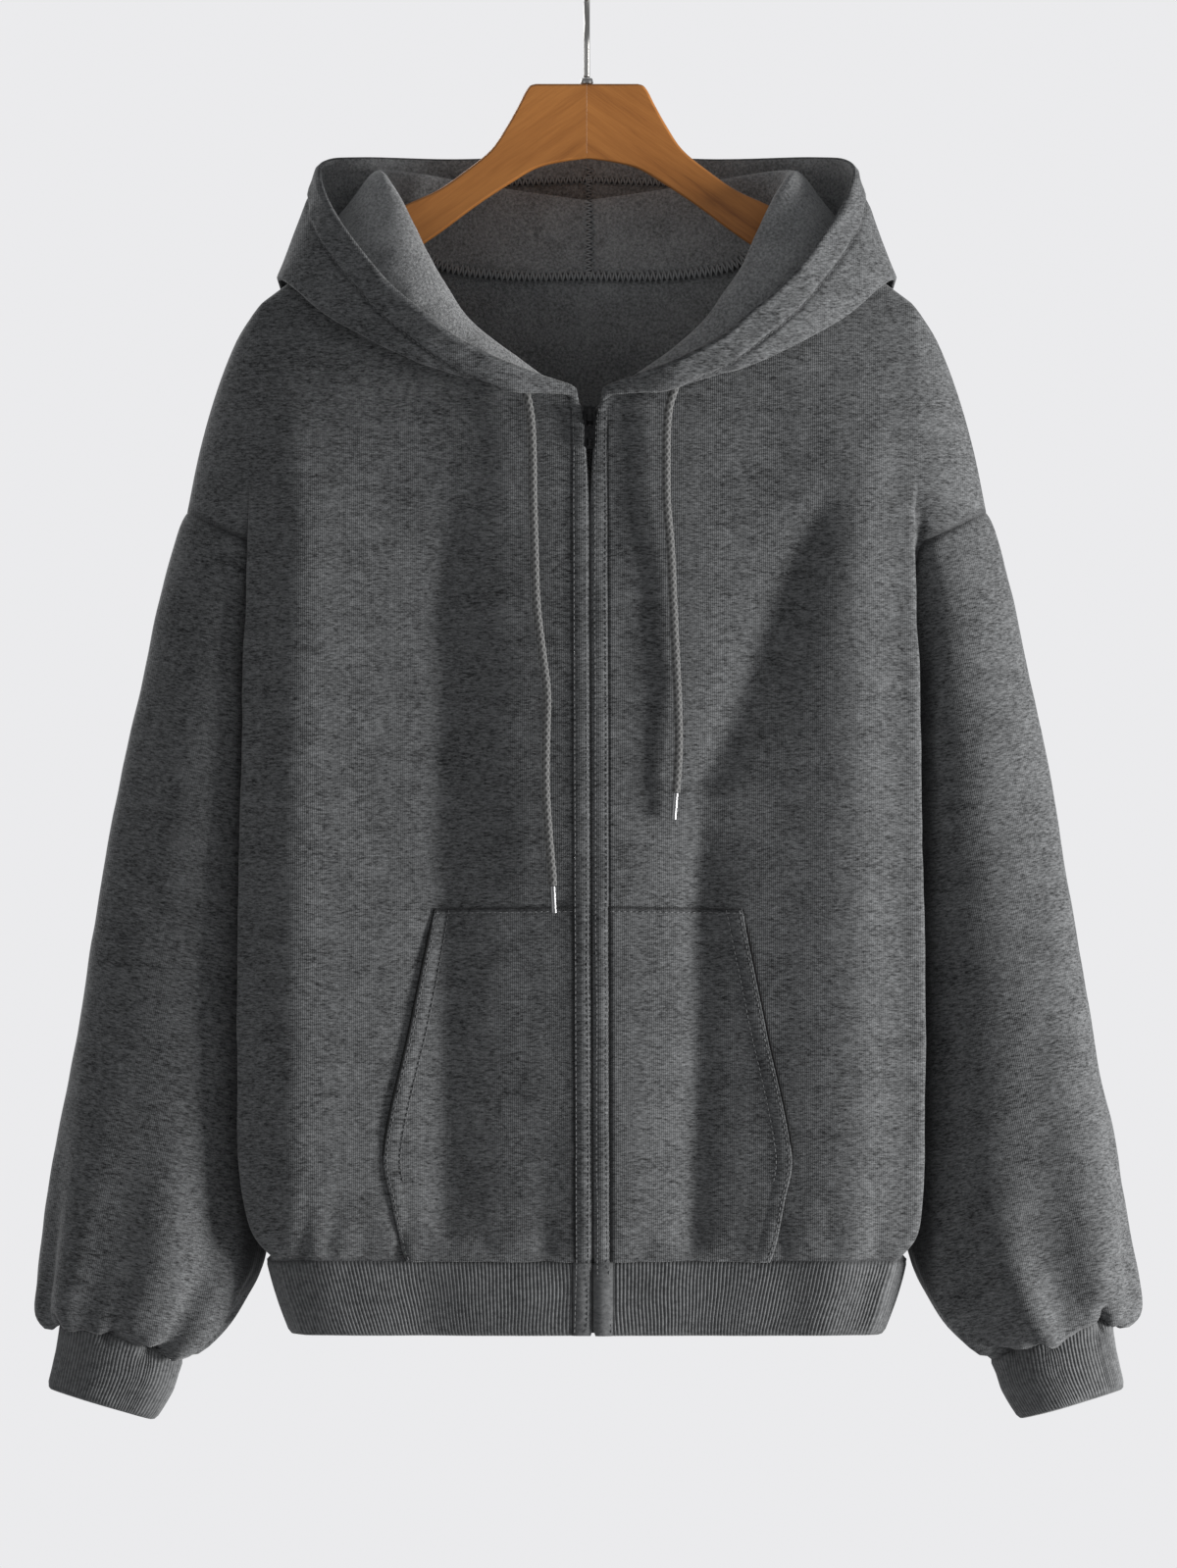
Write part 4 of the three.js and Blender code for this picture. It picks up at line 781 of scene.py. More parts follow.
BACK_NECK = table("out up y", [[0, -118, 28], [55, -117.5, 26.5], [98, -108, 19], [117.5, -75.3, 9], [118, -75, 0]])
FOLLOW = table("rise depth", [[1, 1], [1, 0.73], [0.8, 0.5], [0.55, 0.3], [0.3, 0.15], [0.12, 0.05], [0, 0], [0, 0]])
NECK_SHARE = 118 / 201


def back_half(rows, shares, steps):
    first_fold = spot(201, -137, 0)
    neck_at = np.minimum(shares / NECK_SHARE, 1) * 4
    neck = np.stack([read(BACK_NECK, k, neck_at) for k in ("out", "y", "up")], -1)
    neck[:, 2] += HANGER_TOP
    past = clamp01((shares - NECK_SHARE) / (1 - NECK_SHARE))[:, None]
    sewn = np.where(past > 0, mix(spot(118, -75, 0), first_fold, past), neck)
    first = spot(0, -118, 28) + (first_fold - spot(0, -118, 28)) * shares[:, None]
    first[:, 1] = mix(28, 0, shares ** 2.5)
    grid = []
    for i in rows:
        at = {k: float(read(BACK, k, i)) for k in BACK}
        middle = spot(0, at["midUp"], at["midY"])
        fold = spot(at["foldOut"], at["foldUp"], at["foldY"])
        outer = spot(at["outOut"], at["outUp"], at["outY"])
        face = middle + (fold - middle) * shares[:, None]
        face[:, 1] = mix(middle[1], fold[1], shares ** 2.5)
        free = smooth((1 - shares) / 0.2) * smooth(i / 5)
        face[:, 1] += free * trough_depth(BACK_TROUGHS, face[:, 0], face[:, 2] - HANGER_TOP)
        rise, depth = (float(read(FOLLOW, k, min(i, 7))) for k in ("rise", "depth"))
        face += (sewn - first) * np.array([rise, depth, rise])
        wrap = wrap_points(fold, outer, steps, (1 - min(1, i / 5)) ** 1.5, smooth((i - 3) / 3))
        grid.append(np.vstack([face, wrap]))
    return np.array(grid)


# %% [markdown]
# The fronts and back get a fine mesh of about three millimetres. Rows are set an even distance
# apart down the garment. Near the zip the columns are closer, because the turned-under facing
# makes a narrow raised strip with a line of stitches along each of its edges.

# %% Body grids
FACING_WIDTH, FACING_SLOPE, FACING_RAISE = 9.8, 1.2, 1.5
ZIP_COLUMNS = [0, 0.5, 1.2, 2.2, 3.6, 5.2, 6.8, 8.2, 9.2, 9.9, 10.4, 10.8, 11.2, 11.7, 12.4, 14, 17]
COLUMN_STEP = 3.2
ROW_STEP = 3.2


def even_rows(rows_table, names, last):
    """Row places that are an even distance apart down a piece."""
    fine = np.linspace(0, last, last * 24 + 1)
    line = np.stack([read(rows_table, k, fine) for k in names], -1)
    along = run_length(line)
    count = int(along[-1] / ROW_STEP)
    return np.interp(np.linspace(0, along[-1], count), along, fine)


front_rows = even_rows(FRONT, ("foldOut", "foldUp", "foldY"), HEM_ROW)
front_shares = np.concatenate([np.array(ZIP_COLUMNS) / 209, np.linspace(20.5 / 209, 1, 60)])
wrap_steps = np.concatenate([np.linspace(0, 0.25, 4)[1:], np.linspace(0.25, 1, 19)[1:]])
back_rows = even_rows(BACK, ("foldOut", "foldUp", "foldY"), BACK_HEM_ROW)
back_shares = np.linspace(0, 1, 62)
plain_front = {side: front_grid(side, front_rows, front_shares, wrap_steps) for side, _ in SIDES}
plain_back = back_half(back_rows, back_shares, wrap_steps)
FACE_COLUMNS = len(front_shares)
print("front grid", plain_front[LEFT].shape[:2], "back half", plain_back.shape[:2])

# %% [markdown]
# Real sweatshirt cloth is never quite smooth: it has shallow dents a few centimetres wide, and it
# puckers above the rib, where more cloth is gathered into the band. These are worked out as
# distances along the normals. Near the seams they fade, so that the pieces still meet.

# %% Wrinkles of the body
HEM_GATHERS = {  # out, width, depth and height of each gather above the band
    RIGHT: [(176, 5, 2.6, 40), (160, 6, 2.2, 34), (116, 4, 2.0, 26), (98, 6, 1.0, 20), (64, 9, 1.2, 30),
            (27, 6, 1.8, 26), (140, 7, 1.2, 24)],
    LEFT: [(180, 5, 2.2, 34), (152, 8, 1.6, 30), (121, 4, 1.8, 24), (90, 9, 1.2, 26), (58, 8, 1.0, 26),
           (30, 7, 1.4, 22)],
}


def hem_gathers(rows, out, up, hem_up=-727):
    total = np.zeros_like(out)
    for at, width, depth, height in rows:
        above = up - hem_up
        rise = smooth(above / 5) * np.exp(-((above / height) ** 2))
        lean = out - at - above * 0.12 * math.copysign(1, 100 - at)
        total -= depth * rise * np.exp(-((lean / width) ** 2))
    return total


def small_dents(points, strength, seed, size=46):
    return strength * (wander(points, size, seed) + 0.45 * wander(points, size * 0.42, seed + 3))


def seam_fade(shape, width_rows, width_cols, left=True, right=True):
    """1 inside a grid and 0 at its rims."""
    r = np.arange(shape[0])[:, None]
    c = np.arange(shape[1])[None, :]
    fade = smooth(r / width_rows) * smooth((shape[0] - 1 - r) / width_rows)
    if left:
        fade = fade * smooth(c / width_cols)
    if right:
        fade = fade * smooth((shape[1] - 1 - c) / width_cols)
    return fade


ZIP_PARTING = 0.6


def finished_front(side):
    grid = place(side, soften(plain_front[side], 2))
    normals = facing(grid_normals(grid), (40, 30), (0, -1, 0))
    out, up = plain_front[side][..., 0], plain_front[side][..., 2] - HANGER_TOP
    fade = seam_fade(grid.shape, 6, 8)
    change = small_dents(grid, 0.9, 1 if side == LEFT else 2) * fade
    on_face = (np.arange(grid.shape[1]) < FACE_COLUMNS)[None, :]
    change = change + hem_gathers(HEM_GATHERS[side], out, up) * on_face
    edge_pucker = 0.28 * wander(grid * np.array([0.2, 0.2, 1]), 9, 5 + side)
    near_facing = np.exp(-(((out - FACING_WIDTH - 3) / 7) ** 2)) * (up < -205)
    change = change + edge_pucker * near_facing * fade
    grid = grid + normals * change[..., None]
    grid[..., 0] += side * ZIP_PARTING * np.exp(-((out / 8) ** 2)) * smooth((-200 - up) / 8)
    return grid, facing(grid_normals(grid), (40, 30), (0, -1, 0))


def facing_profile(out, up, raise_by):
    """The raised strip along the zip, with a groove where each line of stitches pulls it down."""
    across = clamp01((out + 0.8) / (FACING_WIDTH + FACING_SLOPE + 0.8))
    strip = np.sin(math.pi * across) ** 0.55
    seam = 0.7 * np.exp(-(((out - FACING_WIDTH - FACING_SLOPE) / 0.7) ** 2))
    return (strip * raise_by - seam) * (up < -196)


front_parts = {side: finished_front(side) for side, _ in SIDES}
area = cloth_area(front_parts[LEFT][0])
print("front area", round(area, 3), "m2")

# %% [markdown]
# The zip's facing lies under the pocket's end here, so on the pocket the strip stands higher.

# %% Fronts
SHEETS = {}


def body_piece(piece, nodes, sheet=None):
    """Sets a finished piece in the frame: what it rides on, stands for and is cut from."""
    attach(piece, "garment")
    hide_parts(*nodes)
    if sheet:
        flat, area_of_cut, held = sheet
        SHEETS[piece.name] = (flat, area_of_cut)
    return piece


for side, word in SIDES:
    grid, normals = front_parts[side]
    out, up = plain_front[side][..., 0], plain_front[side][..., 2] - HANGER_TOP
    on_pocket = smooth((-506 - up) / 4)
    raised = facing_profile(out, up, mix(FACING_RAISE, 3.2, on_pocket))
    raised = raised * (np.arange(grid.shape[1]) < FACE_COLUMNS)[None, :]
    closed_rim = extended(grid, normals, False, 0.5, 0.5)
    # Painted shade along the facing's stitch groove, at the shoulder and outer seams, and along the hem where the front
    # meets the band.
    crease = np.exp(-(((out - FACING_WIDTH - FACING_SLOPE) / 0.55) ** 2)) * (up < -200) * 0.9
    crease[:, FACE_COLUMNS:] = 0
    crease[:, -1] = crease[0, :] = 0.8
    crease[-1, :] = 0.7
    panel = cloth_wall(f"front_{word}_panel", closed_rim, normals, [cloth_body, fleece], raised=raised,
                       values={"crease": crease})
    body_piece(panel, [f"front_{word}"], ((0.265, 0.69), 0.160, "hung"))
    print(panel.name, len(panel.data.polygons), "faces")

# %% Back
back_plain = np.concatenate([place(RIGHT, plain_back[:, 1:])[:, ::-1], place(LEFT, plain_back)], axis=1)
back_grid = soften(back_plain, 2)
back_normals = facing(grid_normals(back_grid), (100, 40), (0, 1, 0))
back_change = small_dents(back_grid, 1.1, 9) * seam_fade(back_grid.shape, 6, 8)
half_columns = np.abs(np.arange(back_grid.shape[1]) - (back_grid.shape[1] - 1) / 2)
back_change += hem_gathers([(0, 8, 1.6, 30), (38, 6, 1.4, 24), (80, 7, 1.8, 30), (120, 6, 1.5, 28), (160, 6, 2.0, 34)],
                           np.abs(back_grid[..., 0]), back_grid[..., 2] - HANGER_TOP) * (half_columns < 62)[None, :]
back_grid = back_grid + back_normals * back_change[..., None]
back_normals = facing(grid_normals(back_grid), (100, 40), (0, 1, 0))
back_panel = cloth_wall("back_panel", extended(back_grid, back_normals, False, 0.5, 0.35), back_normals,
                        [cloth_body, fleece])
body_piece(back_panel, ["back"], ((0.53, 0.70), 0.318, "hung"))
print("back area", round(cloth_area(back_grid), 3), "m2", len(back_panel.data.polygons), "faces")

# %% [markdown]
# The sleeves are wide tubes that start at the armhole and end in gathers above the cuff. Each
# ring lies between an outer and an inner point. "thin" narrows the side that is tucked behind
# the body's fold.

# %% Sleeve sizes
SLEEVE = table("outOut outUp inOut inUp y front back thin", [
    [246.5, -265, 162, -480, 8.5, 26, 24, 0.6],
    [252, -277, 162.5, -490, 8, 30, 28, 0.72],
    [260.5, -307, 165, -505, 8, 34, 33, 0.78],
    [269, -347, 168.5, -527, 8, 37, 36, 0.8],
    [278.5, -391, 173, -552, 8, 39, 38, 0.8],
    [288, -436, 178, -580, 8, 40, 39, 0.78],
    [296, -482, 182.5, -608, 8, 40, 39, 0.74],
    [304, -525, 187, -636, 7.5, 40, 39, 0.66],
    [311, -567, 191, -662, 7.5, 40, 39, 0.56],
    [318, -609, 194, -684, 7.5, 40, 39, 0.46],
    [326, -647, 197, -702, 7, 41, 40, 0.36],
    [331.5, -684, 200, -718, 7, 41, 41, 0.25],
    [335.5, -715, 204, -733, 6.5, 41, 41, 0.2],
    [338, -738, 211, -747, 6, 40, 40, 0.1],
    [337.5, -752, 221, -762, 5.5, 36, 36, 0],
    [331.5, -761, 235, -777, 5, 31, 31, 0],
    [324, -763, 251, -789, 5, 24, 24, 0],
    [325.5, -784, 258, -807, 5, 22.5, 22.5, 0],
    [331.5, -806, 268, -825, 5, 21.5, 21.5, 0],
])
SLEEVE_END = 16
GATHERS = 7
GATHER_DEPTH = {"depth": np.array([0, 0, 0, 0, 0, 0, 0, 0, 0, 0.6, 1.2, 1.8, 2.6, 3.4, 3.4, 2, 0])}


def ring_points(k, angle):
    at = {name: float(read(SLEEVE, name, k)) for name in SLEEVE}
    share = (1 + np.cos(angle)) / 2
    depth = np.where(np.sin(angle) > 0, at["front"], at["back"])
    y = at["y"] - depth * np.sin(angle) * (1 - at["thin"] * (1 - share) ** 1.5)
    return spot(mix(at["inOut"], at["outOut"], share), mix(at["inUp"], at["outUp"], share), y)


def armhole(side, steps):
    """The armhole as a loop: down the front from the shoulder end, and up the back."""
    down = np.linspace(0, UNDERARM_ROW, steps, endpoint=False)
    climb = np.linspace(BACK_UNDERARM_ROW, 0, steps, endpoint=False)
    front_line = spot(*(read(FRONT, k, down) for k in ("outOut", "outUp", "outY")))
    back_line = spot(*(read(BACK, k, climb) for k in ("outOut", "outUp", "outY")))
    loop = np.vstack([front_line, back_line])
    along = run_length(np.vstack([loop, loop[:1]]))
    half = along[steps]
    sewn = np.where(np.arange(2 * steps) < steps, math.pi * along[:-1] / half,
                    math.pi + math.pi * (along[:-1] - half) / (along[-1] - half))
    even = np.linspace(0, 2 * math.pi, 2 * steps, endpoint=False)
    return loop, sewn, even


def sleeve_grid(side, rings, steps=56):
    loop, sewn, even = armhole(side, steps)
    first = ring_points(0, sewn)
    grid = []
    for k in rings:
        angle = mix(sewn, even, min(1, k / 6))
        points = ring_points(k, angle) + (loop - first) * (1 - min(1, k / 6)) ** 1.6
        at = {name: float(read(SLEEVE, name, k)) for name in ("outOut", "outUp", "inOut", "inUp", "y")}
        centre = mix(spot(at["outOut"], at["outUp"], at["y"]), spot(at["inOut"], at["inUp"], at["y"]), 0.5)
        outward = points - centre
        outward /= np.linalg.norm(outward, axis=1)[:, None]
        depth = float(read(GATHER_DEPTH, "depth", min(k, SLEEVE_END)))
        grid.append(points + outward * (depth * np.cos(GATHERS * angle + 0.6))[:, None])
    return np.array(grid)


# %% [markdown]
# A hanging sleeve has a few long soft folds, and where it is gathered into the cuff it puffs out
# over it in uneven pleats. The pleats are narrow at the cuff and fade a hand's width above it.

# %% Sleeves


SLEEVE_PLEATS = {  # angle round the sleeve, the ring it starts at, width and depth
    LEFT: [(0.62, 13.4, 0.11, 7.0), (1.62, 14.2, 0.10, 6.0), (2.3, 14.4, 0.12, 4.0), (4.2, 13.6, 0.12, 6.0)],
    RIGHT: [(2.05, 14.0, 0.12, 6.5), (0.42, 13.8, 0.10, 6.0), (1.3, 14.5, 0.12, 4.0), (4.8, 13.6, 0.12, 6.0)],
}


def cuff_sag(rings, count, side):
    """How far the sleeve hangs over the cuff, round its end."""
    rows = np.asarray(rings)[:, None]
    angle = np.linspace(0, 2 * math.pi, count, endpoint=False)[None, :]
    drop = 5.0 + 3.4 * np.cos(3 * angle + 0.9 * side) + 2.2 * np.cos(5 * angle - 1.2 * side)
    return drop * smooth((rows - 12.8) / 1.6) * smooth((SLEEVE_END - rows) / 0.8)


def sleeve_wrinkles(grid, rings, side):
    rows = np.asarray(rings)[:, None]
    angle = np.linspace(0, 2 * math.pi, grid.shape[1], endpoint=False)[None, :]
    near_cuff = smooth((rows - 10.5) / 4) * smooth((SLEEVE_END - rows) / 0.7)
    sway = 0.5 * np.sin(rows * 0.9 + side)
    pleats = (np.cos(11 * angle + 1.3 * side + sway) + 0.7 * np.cos(17 * angle - 0.8 + rows * 0.35)
              + 0.5 * np.cos(6 * angle + 2.1 * side)) * 0.95 * near_cuff
    long_folds = (1.6 * np.cos(3 * angle + 0.25 * rows + side) + 1.1 * np.cos(5 * angle - 0.3 * rows)) * smooth(
        (rows - 2) / 5) * smooth((SLEEVE_END - 1 - rows) / 4)
    for at, from_row, width, depth in SLEEVE_PLEATS[side]:
        slanted = angle - at - 0.12 * (SLEEVE_END - rows)
        pleats = pleats - depth * np.exp(-((slanted / width) ** 2)) * smooth((rows - from_row) / 1.4)
    return pleats + long_folds + small_dents(grid, 0.9, 20 + side) * smooth(rows / 3) * smooth((SLEEVE_END - rows) / 2)


def sleeve_rings():
    fine = np.linspace(0, SLEEVE_END, 400)
    line = np.stack([read(SLEEVE, "outOut", fine) + read(SLEEVE, "inOut", fine),
                     read(SLEEVE, "outUp", fine) + read(SLEEVE, "inUp", fine)], -1) / 2
    along = run_length(np.column_stack([line, np.zeros(len(line))]))
    return np.interp(np.linspace(0, along[-1], int(along[-1] / 2.9)), along, fine)


sleeve_at = sleeve_rings()
cuff_top = {}
for side, word in SIDES:
    grid = place(side, sleeve_grid(side, sleeve_at))
    probe = (60, 28)
    normals = facing(grid_normals(grid, True), probe, (0, -1, 0))
    change = sleeve_wrinkles(grid, sleeve_at, side)
    sag = cuff_sag(sleeve_at, grid.shape[1], side)
    grid = grid + normals * change[..., None] + sag[..., None] * np.array([side * 0.29, 0, -0.96])
    normals = facing(grid_normals(grid, True), probe, (0, -1, 0))
    cuff_top[side] = grid[-1]
    # Painted shade: each sleeve is darkened on its front half where it runs in behind the body's fold below the
    # armhole, and at its two rims.
    behind_fold = smooth((219 - np.abs(grid[..., 0])) / 9) * smooth((HANGER_TOP - 330 - grid[..., 2]) / 40)
    crease = 0.85 * behind_fold * smooth((14 - grid[..., 1]) / 6)
    crease[0], crease[-1] = 0.9, 0.8
    sleeve = cloth_wall(f"sleeve_{word}_tube", extended(grid, normals, True, 0.6, 0.7), normals,
                        [cloth_sleeve[side], fleece], closed=True, values={"crease": crease})
    body_piece(sleeve, [f"sleeve_{word}"], ((0.38, 0.53), 0.155, "hung"))
    print(sleeve.name, "area", round(cloth_area(grid, True), 3), "m2", len(sleeve.data.polygons), "faces")

# %% [markdown]
# The cuffs and the hem band are rib knit. Each rib is a rounded ridge on the outer side, with
# the cloth's inside left plain. The ribs sway a little as they go down, as knitted ones do.

# %% Ribbed pieces
RIB_PITCH, CUFF_RIB_PITCH, RIB_HEIGHT = 2.3, 2.3, 0.6


def ribbed(along, down, pitch, length, seed):
    """The height of the ribs from 0 to 1. "along" is the distance round, "down" from 0 to 1."""
    count = max(1, round(length / pitch))
    sway = 0.35 * np.sin(along / 37 + seed) * np.sin(math.pi * down * 1.3) + 0.12 * np.sin(down * 9 + along / 11)
    wave = np.cos(2 * math.pi * (along / length * count + sway * 0.7))
    return smooth(0.5 + 0.62 * wave)


def rib_wall(name, top, bottom_rows, closed, pitch, probe, direction, seed, plain=None, puff=0.0,
             wavy=0.55):
    """A ribbed wall from a top line down through other lines of the same number of points."""
    lines = np.array([top, *bottom_rows])
    steps = 18
    t = np.linspace(0, len(lines) - 1, steps)
    low = np.clip(t.astype(int), 0, len(lines) - 2)
    coarse = mix(lines[low], lines[low + 1], (t - low)[:, None, None])
    ring = np.vstack([coarse[0], coarse[0][:1]]) if closed else coarse[0]
    along = run_length(ring)
    count = int(along[-1] / pitch * 6)
    at = np.linspace(0, along[-1], count, endpoint=not closed)
    full = np.concatenate([coarse, coarse[:, :1]], axis=1) if closed else coarse
    grid = np.array([np.stack([np.interp(at, along, row[:, k]) for k in range(3)], -1) for row in full])
    smoothing = 6
    for _ in range(smoothing):
        inner = grid[:, 1:-1] * 0.5 + (grid[:, 2:] + grid[:, :-2]) * 0.25
        grid[:, 1:-1] = inner
    normals = facing(grid_normals(grid, closed), (steps // 2, probe), direction)
    down = np.linspace(0, 1, steps)[:, None]
    waves = np.sin(at / 14 + seed) + 0.8 * np.sin(at / 8.3 + 2 * seed) + 0.7 * np.sin(at / 31)
    grid = grid + normals * (puff * np.sin(math.pi * down) + wavy * waves * smooth(down / 0.25))[..., None]
    heights = ribbed(at[None, :], down, pitch, along[-1], seed)
    if plain is not None:
        heights = heights * (1 - plain(at, along[-1])[None, :])
    ends = smooth(down / 0.05 + 0.3) * smooth((1 - down) / 0.05 + 0.3)
    return grid, normals, heights * ends, at


def cuff_lines(side):
    even = np.linspace(0, 2 * math.pi, 112, endpoint=False)
    return [place(side, ring_points(k, even)) for k in (16.5, 17, 17.5, 18)]


for side, word in SIDES:
    top = cuff_top[side]
    grid, normals, heights, _ = rib_wall(f"cuff_{word}", top, cuff_lines(side), True, CUFF_RIB_PITCH, 100,
                                         (0, -1, 0), 2 + side, puff=0.8)
    cuff = cloth_wall(f"cuff_{word}_rib", extended(grid, normals, True, 0.5, 0.5), normals, [rib_cloth, rib_cloth],
                      closed=True, raised=heights * RIB_HEIGHT - 0.15, values={"crown": heights})
    body_piece(cuff, [f"cuff_{word}"], ((0.19, 0.045), 0.0078, "stretched"))
    print(cuff.name, "area", round(cloth_area(grid, True), 4), "m2", len(cuff.data.polygons), "faces")

# %% [markdown]
# The hem band runs from one side of the zip, round the back, to the other side. Its first and
# last centimetre are covered by the facings, so the ribs stop there.

# %% Hem band
BAND_BOTTOM_UP, BAND_NARROWING = -772, 0.925


def band_line():
    left = front_parts[LEFT][0][-1]
    right = front_parts[RIGHT][0][-1][::-1]
    across = back_grid[-1][1:-1][::-1]
    return np.vstack([left, across, right])


band_top = band_line()
drift = 4 * clamp01(1 - np.abs(band_top[:, 0]) / 150) * clamp01(-band_top[:, 1] / 34)
narrow = mix(1, BAND_NARROWING, smooth((np.abs(band_top[:, 0]) - 20) / 100))
band_bottom = np.stack([(band_top[:, 0] - drift) * narrow + drift, band_top[:, 1] * 0.9,
                        np.full(len(band_top), HANGER_TOP + BAND_BOTTOM_UP)], -1)


def facing_ends(at, length):
    return smooth((FACING_WIDTH + 2.2 - np.minimum(at, length - at)) / 1.2)


band_grid, band_normals, band_ribs, band_at = rib_wall(
    "hem_band", band_top, [band_bottom], False, RIB_PITCH, 60, (0, -1, 0), 1, plain=facing_ends, puff=1.0)
band_edge = np.minimum(band_at, band_at[-1] - band_at)[None, :]
band_strip = np.sin(math.pi * clamp01((band_edge + 0.8) / (FACING_WIDTH + FACING_SLOPE + 0.8))) ** 0.55
band_raised = band_ribs * RIB_HEIGHT - 0.15 + band_strip * 2.2
# The raised facing strips count as crowns too, so the rib finish paints them paler as painted light.
crown = np.maximum(band_ribs, band_strip * 0.55)
# Painted shade along the facings' stitch grooves and along the band's top seam.
crease = np.exp(-(((band_edge - FACING_WIDTH - FACING_SLOPE) / 0.55) ** 2)) * 0.9 + np.zeros(crown.shape)
crease[0] = 0.7
band = cloth_wall("hem_band_rib", extended(band_grid, band_normals, False, 0.5, 0.5), band_normals,
                  [rib_cloth, rib_cloth], raised=band_raised, values={"crown": crown, "crease": crease})
body_piece(band, ["hem_band"], ((0.80, 0.045), 0.036, "stretched"))
print("band area", round(cloth_area(band_grid), 4), "m2", len(band.data.polygons), "faces")

# %% [markdown]
# The hood lies folded back around the neck. At each station along the neck seam the cloth rises
# to a soft roll, falls into a hollow, turns at the outer fold and rises to its hemmed edge. The
# stations go from the zip to the shoulder, and then along the back of the neck to its middle.

# %% Hood sizes
HOOD = table("rollOut rollUp rollY dipOut dipUp dipY foldOut foldUp foldY edgeOut edgeUp edgeY", [
    [8, -196, -40, 8.3, -194.5, -41.3, 8.6, -192.5, -42.6, 9, -189, -44],
    [44, -171, -42.5, 46, -178, -48.5, 47, -189.5, -51.5, 46, -176, -58],
    [73, -147, -41, 80, -160, -50, 88, -179, -52, 80, -159.5, -62],
    [87, -127, -38, 98, -142, -49, 113, -170, -50, 101, -143.5, -61],
    [97, -110, -33, 112, -125, -45, 138, -157, -43, 121, -127, -57],
    [105, -93, -26, 126, -107, -37, 160, -144, -33, 138, -107, -49],
    [115, -72, -17, 138, -92, -24, 180, -127, -19.5, 153, -86, -34],
    [125, -57, -6, 147, -82, -6, 190, -121, -1, 163, -66, -14],
    [127, -53, 11, 146, -76, 14, 188.5, -133, 20, 164, -49, 10],
    [106, -53.5, 23, 118, -84, 33, 165, -225, 40, 141, -45, 34],
    [55, -62, 31, 62, -96, 40, 90, -295, 51, 76, -45.5, 51],
    [0, -70, 34, 0, -102, 42, 0, -314, 54, 0, -41.5, 57],
])
HOOD_STEPS = [7, 8, 14, 4, 4, 36]
FOLD_COLUMN = sum(HOOD_STEPS[:4])
HOOD_HEM_WIDTH, HOOD_HEM = 18.0, 1.1


def neck_point(at):
    if at <= NECK_ROW:
        row = NECK_ROW - at
        return spot(*(float(read(FRONT, k, row)) for k in ("inOut", "inUp", "inY")))
    return spot(*(float(read(BACK_NECK, k, 11 - at)) for k in ("out", "up", "y")))


def hood_grid(stations):
    grid = []
    for at in stations:
        s = {k: float(read(HOOD, k, at)) for k in HOOD}
        sewn = neck_point(at)
        roll, dip = spot(s["rollOut"], s["rollUp"], s["rollY"]), spot(s["dipOut"], s["dipUp"], s["dipY"])
        fold, edge = spot(s["foldOut"], s["foldUp"], s["foldY"]), spot(s["edgeOut"], s["edgeUp"], s["edgeY"])
        apart = np.array([0, (edge - dip)[1] * 0.16, 0])
        near = [min(0.3, 9 / np.linalg.norm(fold - a)) for a in (dip, edge)]
        knots = [sewn, roll, dip, mix(fold, dip, near[0]) - apart, fold, mix(fold, edge, near[1]) + apart, edge]
        grid.append(knotted_curve(knots, HOOD_STEPS))
    return np.array(grid)


def even_stations(step):
    fine = np.linspace(0, 11, 300)
    line = np.stack([read(HOOD, k, fine) for k in ("edgeOut", "edgeUp", "edgeY")], -1)
    along = run_length(line)
    return np.interp(np.linspace(0, along[-1], int(along[-1] / step)), along, fine)


# %% [markdown]
# The hood's hem is turned in and stitched 18 mm from the edge. The stitching draws the cloth into
# a groove, with small puckers across it, and the hem between is a soft tunnel for the cord.

